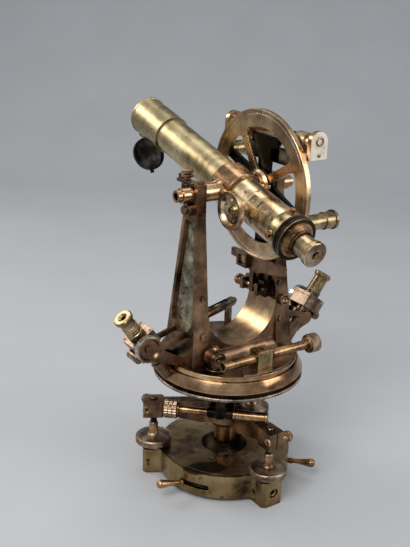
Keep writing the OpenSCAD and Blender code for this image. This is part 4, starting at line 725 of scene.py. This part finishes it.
class THEODOLITE_OT_levels(bpy.types.Operator):
    """End plates, bubbles and lines of the levels, and the window of the index arm"""

    bl_idname = "theodolite.levels"
    bl_label = "Levels and index"

    def execute(self, context):
        s = context.scene.theodolite
        width = s.line_width / MM
        t = np.radians(np.linspace(0, 180, 25))
        # a plate's outline: a half circle on straight sides
        r, foot = 9.7, -12.7
        arch = np.stack([r * np.cos(t), 3 + r * np.sin(t)], -1)
        outline = np.concatenate([arch, [(-r, -4.0), (-r, foot), (-4.0, foot), (4.0, foot), (r, foot), (r, -4.0)]])
        for name, side in (("front", -1), ("back", 1)):
            # +Z of this frame points out of the end plate, +Y stays up
            outwards = Matrix(((-side, 0, 0, 0), (0, 0, side, 0), (0, 1, 0, 0), (0, 0, 0, 1)))
            place = moved(LEVEL_X, side * LEVEL_HALF, LEVEL_Z) @ outwards
            plate = faceplate(outline, (0, 4), 3.1, 0.3)
            # the end plate's near white colour is partly a painted highlight
            piece("end_plate_" + name, plate, place, "index_arm", "cream plate with painted highlight")
            ring = [(3.0, 0.2), (3.0, 0.9), (3.4, 1.1), (4.4, 0.9), (4.7, 0.25)]
            hole = place @ moved(0, 4, 0)
            piece("end_ring_" + name, revolved(ring, 48), hole, "index_arm", "copper coloured bronze",
                  closed_ends=False)
            # a black disc in the ring's hole: painted shade
            piece("end_hole_shade_" + name, revolved([(0, -2.0), (3.05, -2.0)], 32), hole, "index_arm",
                  "black wax and painted shade", closed_ends=False)
            screw_head("end_screw_" + name, place @ moved(0, -8.6, 0.25), 1.9, 0.5, "index_arm",
                       "copper coloured bronze")
        # bubbles stand just proud of their vials' upper side: r cos u across and half sin u along
        u = np.radians(np.linspace(-90, 90, 17))
        on_altitude = moved(LEVEL_X, 0, LEVEL_Z + 5.15) @ turned(90, "X")
        on_plate = PLATE_LEVEL @ moved(0, 0, 2.95) @ turned(90, "Y")
        for name, place, body, half, r in (("altitude", on_altitude, "index_arm", 10.0, 1.35),
                                           ("plate", on_plate, "alidade", 6.0, 0.9)):
            bubble = np.stack([r * np.cos(u), half * np.sin(u)], -1)
            piece(name + "_bubble", revolved(bubble, 24), place, body, "spirit bubble", closed_ends=False)
        lines = [slab((-2.6, 2.6), (y - width / 2, y + width / 2), (5.6, 6.36)) for y in range(-26, 27, 4)
                 if abs(y) > 9]
        piece("altitude_lines", lines, moved(LEVEL_X, 0, LEVEL_Z), "index_arm", "black wax and painted shade")
        lines = [slab((v - width / 2, v + width / 2), (-1.7, 1.7), (3.2, 3.76)) for v in (-12, -9, -6, 6, 9, 12)]
        piece("plate_lines", lines, PLATE_LEVEL, "alidade", "black wax and painted shade")
        piece("window_ivory", slab((31.9, 32.3), (16.6, 27.4), (214.6, 224.4)), moved(), "index_arm", "yellowed ivory")
        piece("window_line", slab((31.82, 31.95), (21.7, 22.1), (215.0, 224.0)), moved(), "index_arm",
              "black wax and painted shade")
        return {"FINISHED"}


class THEODOLITE_OT_slow_motion(bpy.types.Operator):
    """Brass skin of the upper tangent block, its black nut, and rings on the clamp drum and on the rods"""

    bl_idname = "theodolite.slow_motion"
    bl_label = "Slow motions"

    def execute(self, context):
        skin = [slab((-8.62, 8.62), (-60.62, -46.38), (137.2, 155.9)),
                slab((-8.2, 8.2), (-60.2, -46.8), (155.8, 156.74))]
        piece("tangent_block_skin", skin, moved(), "alidade", "turned brass")
        nut = [(4.3, 8.6), (6.2, 8.7), (6.3, 9.2), (6.3, 11.5), (6.0, 12.1), (4.3, 12.2)]
        piece("tangent_nut", revolved(nut, 40), UPPER_SCREW, "alidade", "blackened bronze", closed_ends=False)
        mouth = [(3.98, -45.2), (5.02, -45.2), (5.15, -44.6), (5.15, -42.8), (5.0, -42.5)]
        piece("tangent_mouth", revolved(mouth, 40), UPPER_SCREW, "alidade", "turned brass", closed_ends=False)
        for k, x in enumerate((47.0, 50.2)):
            ring = [(4.3, x), (4.75, x + 0.2), (4.75, x + 1.2), (4.3, x + 1.4)]
            piece("sleeve_ring_%d" % k, revolved(ring, 40), UPPER_SCREW, "alidade", "dull bronze", closed_ends=False)
        screw_head("block_screw", UPPER_BLOCK @ moved(0, 0, 8.1), 2.6, 0.5, "alidade", "blackened bronze")
        face = [(0, 0.25), (1.6, 0.25), (1.8, -0.1), (3.4, -0.1), (3.7, 0.3), (5.4, 0.3), (6.05, 0.0), (6.05, -1.0)]
        piece("clamp_face", revolved(face, 48), UPPER_CLAMP, "alidade", "dull bronze", closed_ends=False)
        for k, (r, z) in enumerate(((5.3, 8.6), (5.3, 12.0), (5.95, 40.4))):
            ring = [(r - 0.6, z - 0.6), (r, z - 0.4), (r, z + 0.4), (r - 0.6, z + 0.6)]
            piece("spring_box_ring_%d" % k, revolved(ring, 40), LOWER_SPRING, "foot_plate", "turned brass",
                  closed_ends=False)
        return {"FINISHED"}


class THEODOLITE_OT_castings(bpy.types.Operator):
    """Polished trough and bevel, a black band painted as the shade of the gap under the bevel, and rough webs of the
    castings
    """

    bl_idname = "theodolite.castings"
    bl_label = "Casting faces"

    def execute(self, context):
        rest = moved()
        # lining of the trough: x = r cos t, z = r sin t under its centre, carried along y
        t = np.radians(np.linspace(182, 358, 72))
        pts = np.empty((72, 5, 3))
        pts[..., 0] = TROUGH_R * np.cos(t)[:, None]
        pts[..., 1] = np.linspace(-TROUGH_HALF, TROUGH_HALF, 5)[None]
        pts[..., 2] = TROUGH_Z + TROUGH_R * np.sin(t)[:, None]
        piece("trough_lining", (pts, False), rest, "alidade", "polished trough", smooth=60)
        bevel = [(74.6, 121.95), (75.05, 122.0), (75.05, 122.85), (70.08, 131.95), (69.0, 131.95)]
        piece("bevel_face", revolved(bevel, 200), rest, "alidade", "polished gunmetal", closed_ends=False)
        step = [(68.3, 131.6), (68.56, 131.7), (68.56, 136.6), (68.1, 137.0)]
        piece("step_face", revolved(step, 200), rest, "alidade", "polished gunmetal", closed_ends=False)
        # the recessed band between limb and bevel is drawn black: painted shade of the gap
        gap_shade = [(72.0, 118.0), (72.46, 118.0), (72.46, 122.0), (72.0, 122.0)]
        piece("gap_shade_band", revolved(gap_shade, 160), rest, "alidade", "blackened bronze", closed_ends=False)
        # webs in the uprights' outer channels: the uprights taper from the deck, and the channel's foot is round
        foot_z, foot_r, wall, thick = 183.6, 17.55, 4.05, 5.44
        for side, sign in (("left", -1), ("right", 1)):
            around = np.linspace(0, math.pi / 2, 20)
            z = np.concatenate([166.0 + 17.6 * (1 - np.cos(around)), np.linspace(185, 275.5, 24)])
            rise = (z - DECK_Z) / (UPRIGHT_TOP - DECK_Z)
            half = 26.0 - 14.0 * rise - wall
            low = z < foot_z
            half[low] = np.sqrt(np.maximum(foot_r ** 2 - (foot_z - z[low]) ** 2, 0))
            pts = np.empty((len(z), 9, 3))
            pts[..., 0] = sign * (60.0 - 10.0 * rise - thick)[:, None]
            pts[..., 1] = half[:, None] * np.linspace(-1, 1, 9)[None]
            pts[..., 2] = z[:, None]
            piece("web_" + side, (pts, False), rest, "alidade", "rough painted web", smooth=60)
        # small hole through the left web, drawn as a black disc: painted shade of the hole
        web_hole_shade = moved(-50.0, 7.9, 201.2) @ turned(-90, "Y")
        piece("web_hole_shade", revolved([(0, 0.06), (1.25, 0.06), (1.6, 0.2), (1.9, 0.0)], 28), web_hole_shade, "alidade",
              "black wax and painted shade", closed_ends=False)
        # screw slots in the uprights' fronts are black strips: painted shade of their grooves
        for k, (px, z) in enumerate(((-46.5, 167.1), (46.5, 167.1), (-45.5, 204.1), (45.5, 204.1))):
            front = 26.0 - 14.0 * (z - DECK_Z) / (UPRIGHT_TOP - DECK_Z)
            place = moved(px, -front - 2.0, z) @ turned(90 + 5.6, "X")
            piece("front_slot_%d" % k, slab((-2.8, 2.8), (-0.4, 0.4), (0.1, 0.35)), place @ turned(30 + 40 * k, "Z"),
                  "alidade", "black wax and painted shade")
        return {"FINISHED"}


# Yaw, pitch and roll in degrees, and the place in metres, that show the instrument as it was seen
CAMERA_TURN = (-34.55, 19.67, 1.86)
CAMERA_PLACE = (-0.4702, -0.6374, 0.4979)
# Each lamp's place and size in metres, its power in watts and its colour
LAMPS = (("key", (-1.0, -0.55, 1.25), 0.8, 17.0, (1.0, 0.98, 0.95)),
         ("fill", (0.9, -1.2, 0.75), 0.8, 8.0, (0.98, 0.98, 1.0)),
         ("top", (0.3, 0.35, 1.6), 0.8, 5.0, (1.0, 1.0, 1.0)),
         ("back", (-0.55, 1.0, 0.95), 0.45, 5.0, (1.0, 0.96, 0.9)))


class THEODOLITE_OT_stage(bpy.types.Operator):
    """Floor, backdrop, lamps and camera"""

    bl_idname = "theodolite.stage"
    bl_label = "Stage"

    def execute(self, context):
        scene = context.scene
        yaw, pitch, roll = (math.radians(v) for v in CAMERA_TURN)
        fx, fy = -math.sin(yaw), math.cos(yaw)
        rx, ry = math.cos(yaw), math.sin(yaw)
        # floor along the view: flat for its first half, then a quarter of an ellipse up into the backdrop
        count = 60
        s = np.linspace(0, 1, count)
        run = np.where(s < 0.5, -2.5 + s * 7.4, 1.2 + 1.3 * np.sin((s - 0.5) * math.pi))
        rise = np.where(s < 0.5, 0.0, 2.6 * (1 - np.cos((s - 0.5) * math.pi)))
        across = np.array([-4.0, 4.0])[:, None]
        pts = np.stack([run * fx + across * rx, run * fy + across * ry, rise + 0 * across], -1)
        mesh = bpy.data.meshes.new("floor")
        first = np.arange(count - 1)
        faces = np.stack([first, first + 1, first + count + 1, first + count], -1).tolist()
        mesh.from_pydata(pts.reshape(-1, 3).tolist(), [], faces)
        floor = bpy.data.objects.new("floor", mesh)
        mesh.polygons.foreach_set("use_smooth", np.ones(count - 1, bool))
        scene.collection.objects.link(floor)
        tree, coat, where = start("plain paper floor")
        paper = node(tree, "ShaderNodeTexNoise", {"Scale": 6.0, "Detail": 4.0}, {"Vector": where})
        shade = node(tree, "ShaderNodeMapRange", {"From Min": 0.3, "From Max": 0.7, "To Min": 0.97, "To Max": 1.03},
                     {"Value": paper.outputs["Fac"]})
        colour = node(tree, "ShaderNodeVectorMath", {"operation": "SCALE", 0: tuple(scene.theodolite.floor)},
                      {"Scale": shade.outputs[0]})
        tree.links.new(colour.outputs[0], coat.inputs["Base Color"])
        coat.inputs["Roughness"].default_value = 0.85
        coat.inputs["Specular IOR Level"].default_value = 0.2
        mesh.materials.append(bpy.data.materials["plain paper floor"])
        for name, place, size, power, warmth in LAMPS:
            lamp = bpy.data.lights.new(name, "AREA")
            lamp.shape = "SQUARE"
            lamp.size = size
            lamp.energy = power
            lamp.color = warmth
            obj = bpy.data.objects.new(name, lamp)
            aim = Vector((0, 0, 0.2)) - Vector(place)
            obj.matrix_world = Matrix.Translation(place) @ aim.to_track_quat("-Z", "Y").to_matrix().to_4x4()
            obj.visible_camera = False
            scene.collection.objects.link(obj)
        world = bpy.data.worlds.new("studio")
        scene.world = world
        world.use_nodes = True
        sky = world.node_tree
        sky.nodes.clear()
        ray = node(sky, "ShaderNodeTexCoord").outputs["Generated"]
        up = node(sky, "ShaderNodeSeparateXYZ", links={0: ray}).outputs["Z"]
        fade = node(sky, "ShaderNodeMapRange", {"From Min": -0.2, "From Max": 0.9}, {"Value": up})
        dome = node(sky, "ShaderNodeValToRGB", {"stops": [(0.0, linear("#7c7e81")), (0.45, linear("#a9acb0")),
                                                          (1.0, linear("#e4e6e9"))]}, {"Fac": fade.outputs[0]})
        light = node(sky, "ShaderNodeBackground", {"Strength": 0.9}, {"Color": dome.outputs["Color"]})
        node(sky, "ShaderNodeOutputWorld", links={"Surface": light.outputs[0]})
        forward = np.array([math.cos(pitch) * fx, math.cos(pitch) * fy, -math.sin(pitch)])
        right = np.array([rx, ry, 0.0])
        up = np.cross(right, forward)
        r = right * math.cos(roll) + up * math.sin(roll)
        u = -right * math.sin(roll) + up * math.cos(roll)
        cam = bpy.data.cameras.new("camera")
        cam.sensor_fit = "VERTICAL"
        cam.sensor_height = 36.0
        cam.lens = scene.theodolite.focal
        cam.clip_end = 20.0
        eye = bpy.data.objects.new("camera", cam)
        m = Matrix.Identity(4)
        for k in range(3):
            m[k] = r[k], u[k], -forward[k], CAMERA_PLACE[k]
        eye.matrix_world = m
        scene.collection.objects.link(eye)
        scene.camera = eye
        scene.view_settings.view_transform = "Standard"
        return {"FINISHED"}


class THEODOLITE_PT_panel(bpy.types.Panel):
    bl_label = "Theodolite"
    bl_idname = "THEODOLITE_PT_panel"
    bl_space_type = "VIEW_3D"
    bl_region_type = "UI"
    bl_category = "Theodolite"

    def draw(self, context):
        for name in TheodoliteSettings.__annotations__:
            self.layout.prop(context.scene.theodolite, name)
        for step in STEPS:
            self.layout.operator(step.bl_idname)


STEPS = (THEODOLITE_OT_finishes, THEODOLITE_OT_base, THEODOLITE_OT_footscrews, THEODOLITE_OT_knobs,
         THEODOLITE_OT_telescope, THEODOLITE_OT_circles, THEODOLITE_OT_microscopes, THEODOLITE_OT_levels,
         THEODOLITE_OT_slow_motion, THEODOLITE_OT_castings, THEODOLITE_OT_stage)
CLASSES = (TheodoliteSettings,) + STEPS + (THEODOLITE_PT_panel,)


def register():
    for cls in CLASSES:
        bpy.utils.register_class(cls)
    bpy.types.Scene.theodolite = PointerProperty(type=TheodoliteSettings)


def unregister():
    del bpy.types.Scene.theodolite
    for cls in reversed(CLASSES):
        bpy.utils.unregister_class(cls)


def main():
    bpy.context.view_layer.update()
    register()
    for step in STEPS:
        area, name = step.bl_idname.split(".")
        getattr(getattr(bpy.ops, area), name)()
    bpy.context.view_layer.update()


if __name__ == "__main__":
    main()
